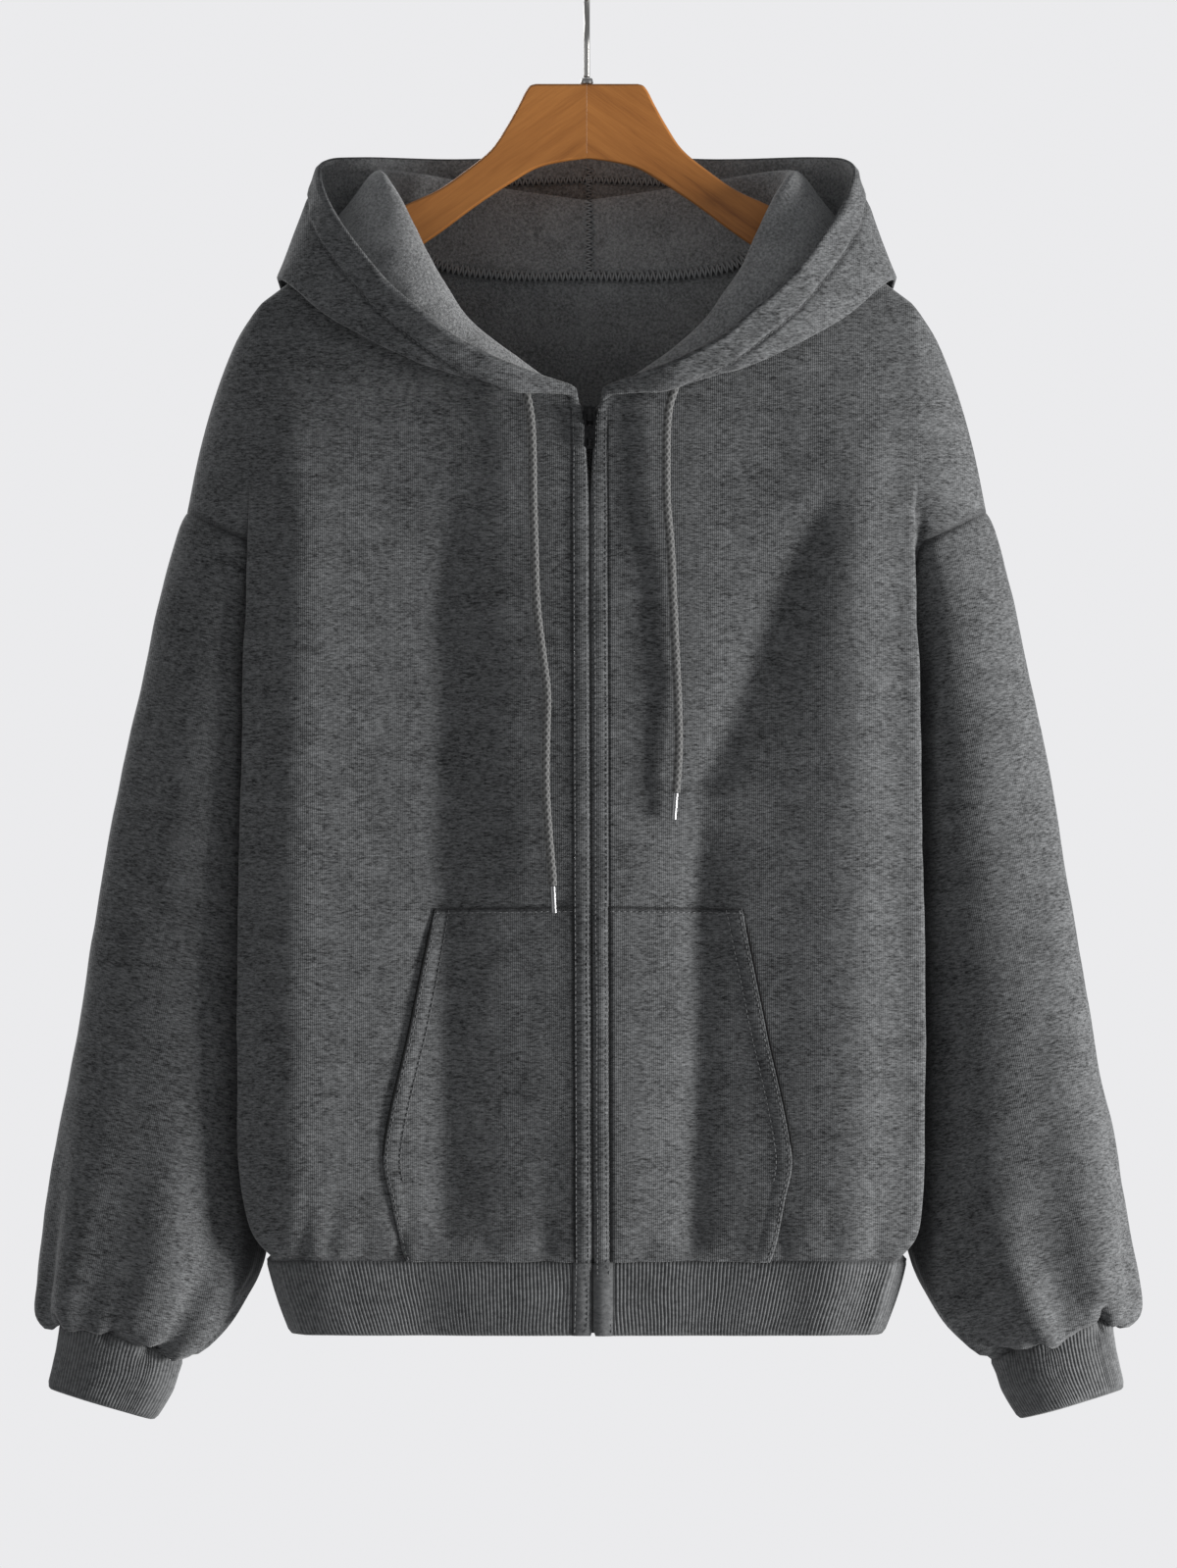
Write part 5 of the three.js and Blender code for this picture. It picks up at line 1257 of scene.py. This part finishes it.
# %% Hood
hood_at = even_stations(2.6)
hood_parts = {}
for side, word in SIDES:
    grid = place(side, soften(hood_grid(hood_at), 2))
    probe = (45, 24)
    normals = grid_normals(grid)
    outward = np.array([side * 0.4, -1, 0.3])
    last_column = grid.shape[1] - 6
    normals = facing(normals, (40, last_column), outward)
    edge_distance = run_length(grid[40][::-1])[::-1]
    from_edge = np.array([run_length(row[::-1])[::-1] for row in grid])
    stations = hood_at[:, None]
    fade = smooth(stations / 1.2) * seam_fade(grid.shape, 3, 3, True, True)
    from_fold = np.abs(from_edge - from_edge[:, FOLD_COLUMN:FOLD_COLUMN + 1])
    calm = smooth(from_fold / 45) * np.where(np.arange(grid.shape[1]) < FOLD_COLUMN, 0.3, 1.0)
    change = small_dents(grid, 1.1, 30 + side, 34) * fade * mix(1, calm, smooth((stations - 5) / 1.5))
    pucker = wander(grid, 7, 40 + side) * 1.0 * np.exp(-(((from_edge - HOOD_HEM_WIDTH) / 8) ** 2)) * fade
    rim = wander(grid, 15, 44 + side) * 1.3 * np.exp(-((from_edge / 22) ** 2)) * smooth(stations / 2)
    pucker = pucker + rim * smooth(from_edge / 3 + 0.35)
    grid = grid + normals * (change + pucker)[..., None]
    normals = facing(grid_normals(grid), (40, last_column), outward)
    hem_on = smooth((stations - 0.4) / 0.8)
    tunnel = HOOD_HEM * smooth((HOOD_HEM_WIDTH - from_edge) / 3) * smooth(from_edge / 2 + 0.3)
    groove = np.exp(-(((from_edge - HOOD_HEM_WIDTH) / 1.4) ** 2))
    raised = (tunnel - groove) * hem_on
    # Painted shade in the hem's stitch groove and along the neck seam.
    crease = groove * hem_on * 0.7
    crease[:, 0] = 0.8
    hood_parts[side] = (grid, normals, from_edge, raised)
    shell = cloth_wall(f"hood_{word}_half", extended(grid, normals, False, 0.4, 0.3), normals,
                       [cloth_body, fleece], raised=raised, values={"crease": crease})
    body_piece(shell, [f"hood_{word}"], ((0.44, 0.36), 0.114, "folded"))
    print(shell.name, "area", round(cloth_area(grid), 3), "m2", len(shell.data.polygons), "faces")

# %% [markdown]
# The pockets lie on the fronts. They are cut from the same points, moved out by the thickness of
# the two cloths, and end in a slanted opening with a turned edge that stands a little away from
# the front. Below the kink the edge is sewn down.

# %% Pockets
POCKET_CLOTH = 1.4
POCKET_START = FACING_WIDTH + FACING_SLOPE


def pocket_grid(side):
    grid, normals = front_parts[side]
    out = plain_front[side][..., 0]
    rows = np.nonzero(front_rows >= POCKET_ROW)[0]
    rows = np.concatenate([[rows[0] - 1], rows])
    found, lift_from, edges = [], [], []
    for r in rows:
        row_at = max(POCKET_ROW, front_rows[r])
        edge = float(read(POCKET_EDGE, "out", row_at, "row"))
        near_edge = np.array([9, 7, 5.5, 4.2, 3, 2, 1.2, 0.6, 0])
        across = np.concatenate([np.linspace(POCKET_START, edge - 11, 30), edge - near_edge])
        face = slice(0, FACE_COLUMNS)
        place_of = np.interp(across, out[r, face], np.arange(FACE_COLUMNS))
        low = np.clip(place_of.astype(int), 0, FACE_COLUMNS - 2)
        t = (place_of - low)[:, None]
        point = mix(grid[r][low], grid[r][low + 1], t)
        if r == rows[0]:
            share = (POCKET_ROW - front_rows[r]) / (front_rows[r + 1] - front_rows[r])
            point = mix(point, mix(grid[r + 1][low], grid[r + 1][low + 1], t), share)
        normal = mix(normals[r][low], normals[r][low + 1], t)
        found.append(point)
        lift_from.append(normal / np.linalg.norm(normal, axis=1)[:, None])
        edges.append(edge - across)
    return np.array(found), np.array(lift_from), np.array(edges), np.maximum(POCKET_ROW, front_rows[rows])


OPENING_STAND = 0.7
pocket_parts = {}
for side, word in SIDES:
    grid, normals, from_edge, row_at = pocket_grid(side)
    rows_open = smooth((row_at - POCKET_ROW) / 0.5) * smooth((KINK_ROW - row_at) / 0.5)
    stand = OPENING_STAND * rows_open[:, None] * smooth((12 - from_edge) / 12)
    from_top = run_length(grid[:, 15])[:, None]
    lift = CLOTH / 2 + POCKET_CLOTH / 2 + 0.05 + stand
    settle = 0.22 * wander(grid, 11, 50 + side) * smooth(from_top / 6)
    middle = grid + normals * (lift + settle)[..., None]
    lines = (np.exp(-(((from_edge - 1.6) / 0.7) ** 2)) + np.exp(-(((from_edge - 9.6) / 0.8) ** 2)))
    top_line = np.exp(-(((from_top - 1.8) / 0.8) ** 2)) + 0.0 * from_edge
    raised = -0.4 * lines - 0.4 * top_line + 0.35 * smooth((8 - from_edge) / 1.5) * smooth(from_edge / 1.2)
    # Painted shade along the two lines of stitches, the line under the top edge, and the pocket's top and zip-side
    # rims.
    crease = 0.45 * lines + 0.3 * top_line
    crease[0] = crease[:, 0] = 0.9
    pocket_parts[side] = (middle, normals, from_edge, from_top, row_at)
    pocket = cloth_wall(f"pocket_{word}_patch", middle, normals, [cloth_body, fleece], thickness=POCKET_CLOTH,
                        raised=raised, values={"crease": crease})
    # A thin near-black tube runs along each opening's edge, partly under it: painted shade for the slit's shadow, wider
    # where the pocket is open and thin where it is sewn down.
    width = 0.3 + 0.5 * smooth((row_at - POCKET_ROW) / 0.4) * smooth((KINK_ROW + 0.3 - row_at) / 0.5)
    outward = middle[:, -1] - middle[:, -2]
    outward /= np.linalg.norm(outward, axis=1)[:, None]
    slit_shade_line = middle[:, -1] - normals[:, -1] * 0.15 + outward * (0.25 + 0.7 * width[:, None])
    slit_shade = tube(f"pocket_{word}_slit", evenly(slit_shade_line, 2.0), np.interp(
        np.linspace(0, 1, len(evenly(slit_shade_line, 2.0))), np.linspace(0, 1, len(width)), width), 8, [painted_slit_shade])
    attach(slit_shade, "garment")
    body_piece(pocket, [f"pocket_{word}"], ((0.125, 0.22), 0.0228, "laid"))
    print(pocket.name, "area", round(cloth_area(middle), 4), "m2")

# %% [markdown]
# Stitches are small capsules of thread laid end to end along a line, each dipping into the cloth
# at its ends. They are real meshes, so that they still catch light in a close view. The overlock
# seams inside the neck are one thread that runs to and fro across the seam.

# %% Stitching


def stitch_run(line, normals, length=2.6, gap=1.0, thick=0.6, sink=0.05):
    """Points and faces of one line of stitches on a surface."""
    along = run_length(line)
    count = int(along[-1] / (length + gap))
    centres = (np.arange(count) + 0.5) * (along[-1] / count)
    shape_at = np.array([-0.5, -0.3, 0.0, 0.3, 0.5])
    widths = np.array([0.25, 0.9, 1.0, 0.9, 0.25]) * thick / 2
    angle = np.linspace(0, 2 * math.pi, 6, endpoint=False)
    points, faces = [], []
    for c in centres:
        at = c + shape_at * length
        spine = np.stack([np.interp(at, along, line[:, k]) for k in range(3)], -1)
        up = np.array([np.interp(c, along, normals[:, k]) for k in range(3)])
        up /= np.linalg.norm(up)
        tangent = spine[-1] - spine[0]
        tangent /= max(1e-6, np.linalg.norm(tangent))
        side_way = np.cross(tangent, up)
        lift = thick * (0.5 - 3.0 * shape_at ** 2) - sink
        start = len(points) * 6
        for k in range(5):
            ring = spine[k] + up * lift[k] + widths[k] * (np.cos(angle)[:, None] * side_way
                                                         + np.sin(angle)[:, None] * up)
            points.append(ring)
        faces += grid_faces(5, 6, True, start, True)
    return (np.vstack(points) if points else np.zeros((0, 3))), faces


def sew(name, runs, material):
    """Joins several lines of stitches into one piece."""
    points, faces = [], []
    for line, normals, options in runs:
        found, made = stitch_run(line, normals, **options)
        shift = sum(len(p) for p in points)
        faces += [[v + shift for v in face] for face in made]
        points.append(found)
    piece = make_mesh(name, np.vstack(points), faces, [material])
    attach(piece, "garment")
    return piece


def column_line(grid, normals, out, at_out, rows, lift):
    """A line down a front at one distance from its zip edge, lifted off the middle of the cloth."""
    line, ups = [], []
    for r in rows:
        place_of = float(np.interp(at_out, out[r, :FACE_COLUMNS], np.arange(FACE_COLUMNS)))
        low = min(int(place_of), FACE_COLUMNS - 2)
        normal = mix(normals[r][low], normals[r][low + 1], place_of - low)
        normal = normal / np.linalg.norm(normal)
        height = lift[r] if hasattr(lift, "__len__") else lift
        line.append(mix(grid[r][low], grid[r][low + 1], place_of - low) + normal * height)
        ups.append(normal)
    return np.array(line), np.array(ups)


for side, word in SIDES:
    grid, normals = front_parts[side]
    out, up = plain_front[side][..., 0], plain_front[side][..., 2] - HANGER_TOP
    rows = np.nonzero(front_rows >= NECK_ROW + 0.1)[0]
    lift = CLOTH / 2 + mix(FACING_RAISE, 3.2, smooth((-506 - up[:, 3]) / 4)) - 0.4
    runs = []
    for at_out in (1.9, 9.9):
        line, ups = column_line(grid, normals, out, at_out, rows, lift)
        foot = band_bottom[0 if side == LEFT else -1] + np.array([side * at_out, -3.0, 0])
        runs.append((np.vstack([line, foot]), np.vstack([ups, ups[-1:]]), {}))
    middle, p_normals, from_edge, from_top, row_at = pocket_parts[side]
    skin = middle + p_normals * (POCKET_CLOTH / 2 + 0.1)
    for inset in (1.6, 9.6):
        line = np.array([np.stack([np.interp(-inset, -from_edge[r], skin[r][:, k]) for k in range(3)])
                         for r in range(len(skin))])
        stop = len(line) if inset < 5 else int(np.searchsorted(row_at, KINK_ROW + 0.6))
        runs.append((line[:stop], p_normals[:stop, -3], {}))
    row = int(np.argmin(np.abs(from_top[:, 0] - 1.8)))
    runs.append((skin[row], p_normals[row], {}))
    sew(f"front_{word}_stitches", runs, thread)
    hood, h_normals, from_edge, raised = hood_parts[side]
    first = int(np.searchsorted(hood_at, 0.8))
    line, ups = [], []
    for r in range(first, len(hood)):
        c = int(np.argmin(np.abs(from_edge[r] - HOOD_HEM_WIDTH)))
        line.append(hood[r, c] + h_normals[r, c] * (CLOTH / 2 + raised[r, c]))
        ups.append(h_normals[r, c])
    sew(f"hood_{word}_stitches", [(np.array(line), np.array(ups), {})], thread)

# %% Overlocked seams inside the neck


def overlock(name, line, normals, across, width=7.4, pitch=3.4, thick=1.5):
    """A thread that runs to and fro across a seam, with a cord of cloth under it."""
    even_line = evenly(line, pitch / 4)
    along, spots = run_length(line), run_length(even_line)
    ups = np.stack([np.interp(spots, along, normals[:, k]) for k in range(3)], -1)
    ways = np.stack([np.interp(spots, along, across[:, k]) for k in range(3)], -1)
    swing = np.array([-0.5, 0.0, 0.5, 0.0])[np.arange(len(even_line)) % 4][:, None]
    radius = width * 0.36
    thread_line = even_line + ways * swing * width + ups * np.where(swing == 0, radius * 0.6 + thick * 0.3, 0.3)
    cord_of_cloth = tube(f"{name}_edge", even_line[::2] - ups[::2] * radius * 0.4, radius, 12, [cloth_body])
    sewing = tube(f"{name}_thread", thread_line, thick / 2, 6, [serging_thread])
    for piece in (cord_of_cloth, sewing):
        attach(piece, "garment")


def neck_seam_line():
    """The back neck seam, on its inner side, from shoulder to shoulder."""
    half = np.array([neck_point(at) for at in np.linspace(7.6, 11, 60)])
    left = place(LEFT, half)
    right = place(RIGHT, half[:-1])[::-1]
    return np.vstack([left, right])


seam = neck_seam_line()
seam_inside = np.tile([0.0, -1.0, 0.05], (len(seam), 1))
seam_inside /= np.linalg.norm(seam_inside, axis=1)[:, None]
seam_across = np.cross(np.gradient(seam, axis=0), seam_inside)
seam_across /= np.linalg.norm(seam_across, axis=1)[:, None]
overlock("neck_overlock", seam + seam_inside * (CLOTH / 2), seam_inside, seam_across)
middle_line = hood_parts[LEFT][0][-1]
forward = np.array([0.0, -1.0, 0.0])
for name, rows in (("hood_seam_inner", slice(0, 8)), ("hood_seam_back", slice(-12, -1))):
    line = middle_line[rows].copy()
    line[:, 0] = 1.5
    overlock(name, line + forward * (CLOTH / 2), np.tile(forward, (len(line), 1)),
             np.tile([1.0, 0.0, 0.0], (len(line), 1)), width=5.4, pitch=3.4, thick=1.3)
hem_back = []
for side in (RIGHT, LEFT):
    grid, normals, from_edge, _ = hood_parts[side]
    rows = [r for r in range(len(grid)) if hood_at[r] > 9.2]
    found = [grid[r][int(np.argmin(np.abs(from_edge[r] - HOOD_HEM_WIDTH)))] for r in rows]
    hem_back += found if side == RIGHT else found[::-1][1:]
hem_back = np.array(hem_back) + forward * (CLOTH / 2)
overlock("hood_hem_zigzag", hem_back, np.tile(forward, (len(hem_back), 1)),
         np.tile([0.0, 0.0, 1.0], (len(hem_back), 1)), width=5.4, pitch=3.4, thick=1.3)

# %% [markdown]
# The zip is closed. Woven tapes lie behind the edges of the fronts, and between them the teeth
# mesh, one from the left and one from the right in turn. Only a dark line of them shows.

# %% Zip
ZIP_TEETH_HALF, TEETH_PITCH = 2.3, 2.4
SEAM_GAP = 0.3


def zip_line(step):
    rows = front_rows[front_rows >= NECK_ROW + 0.35]
    ups = read(FRONT, "inUp", rows)
    ys = read(FRONT, "inY", rows)
    ups, ys = np.append(ups, BAND_BOTTOM_UP + 1), np.append(ys, ys[-1] * 0.9 + 0.4)
    line = np.stack([np.zeros_like(ups), ys, HANGER_TOP + ups], -1)
    return place(LEFT, evenly(line, step))


zip_middle = zip_line(6)
for side, word in SIDES:
    behind = CLOTH / 2 + SEAM_GAP + 0.5
    offsets = np.array([ZIP_TEETH_HALF - 1.2, 4, 8, FACING_WIDTH + 1])
    tape = np.stack([zip_middle + np.array([side * o, behind, 0]) for o in offsets], axis=1)
    tape_normals = np.tile(np.array([0.0, -1.0, 0.0]), (*tape.shape[:2], 1))
    piece = cloth_wall(f"zip_tape_{word}_weave", tape, tape_normals, [zip_tape_cloth, zip_tape_cloth], thickness=0.8)
    body_piece(piece, [f"zip_tape_{word}"], ((0.012, 0.60), None, "hung"))


def zip_teeth():
    """Small rounded blocks, left and right in turn, down the whole zip."""
    line = zip_line(TEETH_PITCH / 2)
    block = np.array([[-1, -1], [1, -1], [1, 1], [-1, 1]], float)
    points, faces = [], []
    for k, centre in enumerate(line[14:]):
        side = LEFT if k % 2 else RIGHT
        middle = centre + np.array([side * 0.55, CLOTH / 2 + SEAM_GAP + 0.1, 0])
        start = len(points) * 4
        for deep, size in ((-0.75, 0.7), (-0.5, 1.0), (0.7, 1.0), (1.0, 0.8)):
            points.append(np.stack([middle[0] + block[:, 0] * 1.15 * size, np.full(4, middle[1] + deep),
                                    middle[2] + block[:, 1] * 0.5 * size], -1))
        faces += grid_faces(4, 4, True, start, True)
        faces += [[start + v for v in (0, 1, 2, 3)], [start + 12 + v for v in (3, 2, 1, 0)]]
    return make_mesh("zip_teeth_row", np.vstack(points), faces, [black_metal], smooth_faces=False)


body_piece(zip_teeth(), ["zip_teeth"])
for node in ("zip_slider", "zip_pull_tab"):
    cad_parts[node].data.materials.clear()
    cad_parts[node].data.materials.append(black_metal)
print("zip length", round(run_length(zip_middle)[-1]), "mm")

# %% [markdown]
# The hanger has two flat arms with rounded edges, glued in the middle, so that their grain meets
# in a chevron. Each arm's outline is a smooth line through a short table of points. The edge is
# rounded with a bevel of several steps.

# %% Hanger
HANGER_THICKNESS, ARM_ROUNDING = 13.0, 2.4
ARM_TOP = [(0, 0), (31.5, 0), (34.8, -1), (37.4, -4), (42, -13), (49, -25.5), (59, -40.5), (76, -54.5), (92, -65.5), (118, -78),
           (150, -101.8), (185, -128), (195, -137)]
ARM_LOW = [(198.5, -145), (196.5, -154), (188, -157), (160, -140), (130, -119.5), (103, -100.5), (88, -90),
           (76, -81), (65, -73), (47, -61.3), (31, -52), (15, -48), (0, -46)]


def arm_outline():
    top = knotted_curve([(o, 0, u) for o, u in ARM_TOP[1:]], 5)
    low = knotted_curve([(o, 0, u) for o, u in ARM_LOW], 5)
    return np.vstack([[(0, 0, 0)], [(17, 0, 0)], top, low, [(0, 0, -23)]])


def hanger_arm(side, word):
    outline = arm_outline()
    mesh = bpy.data.meshes.new(f"hanger_{word}_wood")
    piece = bpy.data.objects.new(mesh.name, mesh)
    bpy.context.scene.collection.objects.link(piece)
    n = len(outline)
    half = HANGER_THICKNESS / 2
    flat = outline[:, [0, 2]]
    edge = np.roll(flat, -1, 0) - np.roll(flat, 1, 0)
    inward = np.stack([edge[:, 1], -edge[:, 0]], -1)
    inward /= np.linalg.norm(inward, axis=1)[:, None]
    inward[flat[:, 0] < 0.01, 0] = 0.0
    inward[0] = inward[1]
    inward[-1] = 0.0
    layers = []
    angles = np.linspace(0, math.pi / 2, 6)
    for sign in (-1, 1):
        order = angles if sign < 0 else angles[::-1]
        for a in order:
            inset = ARM_ROUNDING * (1 - math.sin(a)) * 0.6
            depth = sign * (half - ARM_ROUNDING * (1 - math.cos(a)))
            ring = flat + inward * inset
            layers.append(np.stack([side * (ring[:, 0] + 0.02), np.full(n, depth), HANGER_TOP + ring[:, 1]], -1))
    rim = layers[0][:, [0, 2]] * [side, 1]
    kept_way = ((np.roll(rim, -1, 0) - rim) * (np.roll(flat, -1, 0) - flat)).sum(1) > 0
    print(piece.name, n, "points round,", int((~kept_way).sum()), "turned back")
    points = np.vstack(layers)
    flip = side > 0
    faces = grid_faces(len(layers), n, True, 0, not flip)
    first, last = list(range(n)), [(len(layers) - 1) * n + k for k in range(n)]
    faces += [first if flip else first[::-1], last[::-1] if flip else last]
    mesh.from_pydata((points * MM).tolist(), [], faces)
    mesh.materials.append(wood[side])
    mesh.polygons.foreach_set("use_smooth", [True] * (len(mesh.polygons) - 2) + [False] * 2)
    mesh.update()
    mesh.set_sharp_from_angle(angle=math.radians(40))
    return piece


for side, word in SIDES:
    arm = hanger_arm(side, word)
    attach(arm, "garment")
    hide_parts(f"hanger_arm_{word}")

# %% [markdown]
# The hook is round steel wire: a loop that is seen edge-on from the front, a small bend back to
# the middle line, and a straight stem into a small ferrule on the hanger.

# %% Hook and ferrule
HOOK_WIRE, HOOK_RADIUS, BEND_RADIUS, FERRULE_HEIGHT = 3.8, 19.0, 12.0, 3.5


def hook_line():
    loop = HOOK_RADIUS + HOOK_WIRE / 2
    leave = math.acos(BEND_RADIUS / (loop + BEND_RADIUS))
    angles = np.linspace(math.radians(195), -leave, 60)
    turn = np.stack([np.zeros(60), loop * np.cos(angles), -HOOK_RADIUS + loop * np.sin(angles)], -1)
    bend_z = -HOOK_RADIUS - (loop + BEND_RADIUS) * math.sin(leave)
    bends = np.linspace(math.pi - leave, math.pi, 12)[1:]
    bend = np.stack([np.zeros(11), BEND_RADIUS + BEND_RADIUS * np.cos(bends), bend_z + BEND_RADIUS * np.sin(bends)], -1)
    stem_end = HANGER_TOP + SEAM_GAP * 2 + FERRULE_HEIGHT
    stem = np.stack([np.zeros(12), np.zeros(12), np.linspace(bend_z, stem_end, 13)[1:]], -1)
    return np.vstack([turn, bend, stem])


wire = hook_line()
rounding = np.ones(len(wire)) * HOOK_WIRE / 2
rounding[:4] *= [0.45, 0.8, 0.95, 1.0]
hook = tube("hook_wire", wire, rounding, 24, [steel])
body_piece(hook, ["hanger_hook"])
ferrule_z = HANGER_TOP + SEAM_GAP + np.array([0, 0.05, 0.5, 2.8, 3.2, 3.45, 3.5])
ferrule = tube("hook_ferrule_ring", np.stack([np.zeros(7), np.zeros(7), ferrule_z], -1),
               np.array([3.5, 3.9, 4.0, 3.55, 3.3, 2.8, 2.0]), 32, [steel])
body_piece(ferrule, ["hook_ferrule"])

# %% [markdown]
# The studio: a large soft light from the right and above, a weak one from the left, and a pale
# surround. The surround is bright where the camera sees it and gives only a little light. The
# floor is a plain pale disc well under the garment.

# %% Studio
FLOOR_Z = -1.35
floor_points = [(1.6 * math.cos(a), 1.6 * math.sin(a), FLOOR_Z) for a in np.linspace(0, 2 * math.pi, 64, endpoint=False)]
floor_finish = Finish("pale_floor", (0.72, 0.72, 0.73), 0.8)
floor_grain = floor_finish.noise(floor_finish.place(), 30.0, 3.0, 0.5)
floor_finish.set("Base Color", floor_finish.blend(floor_grain, (0.70, 0.70, 0.71), (0.75, 0.75, 0.76)))
floor = make_mesh("studio_floor", np.array(floor_points) / MM, [list(range(64))], [floor_finish.material])


def soft_light(name, place_at, aim, size, power, color=(1, 1, 1)):
    data = bpy.data.lights.new(name, "AREA")
    data.shape, data.size, data.size_y = "RECTANGLE", size[0], size[1]
    data.energy, data.color = power, color
    light = bpy.data.objects.new(name, data)
    light.location = place_at
    light.rotation_euler = (Vector(aim) - Vector(place_at)).to_track_quat("-Z", "Y").to_euler()
    bpy.context.scene.collection.objects.link(light)
    return light


soft_light("window_light", (3.5, -0.88, -1.0), (0, 0, -0.5), (0.8, 1.3), 205)
soft_light("front_fill", (-2.6, -2.4, -0.3), (-0.1, 0, -0.6), (1.6, 1.8), 9)
soft_light("back_fill", (-1.8, 2.4, 0.6), (0, 0, -0.5), (1.8, 2.0), 42)

world = bpy.data.worlds.new("pale_surround")
bpy.context.scene.world = world
world.use_nodes = True
links, nodes = world.node_tree.links, world.node_tree.nodes
seen = nodes["Background"]
seen.inputs["Color"].default_value = (0.83, 0.83, 0.845, 1)
lit = nodes.new("ShaderNodeBackground")
lit.inputs["Color"].default_value = (0.95, 0.97, 1.0, 1)
lit.inputs["Strength"].default_value = 0.24
path, choice = nodes.new("ShaderNodeLightPath"), nodes.new("ShaderNodeMixShader")
links.new(path.outputs["Is Camera Ray"], choice.inputs[0])
links.new(lit.outputs[0], choice.inputs[1])
links.new(seen.outputs[0], choice.inputs[2])
links.new(choice.outputs[0], nodes["World Output"].inputs["Surface"])
bpy.context.scene.view_settings.view_transform = "Standard"
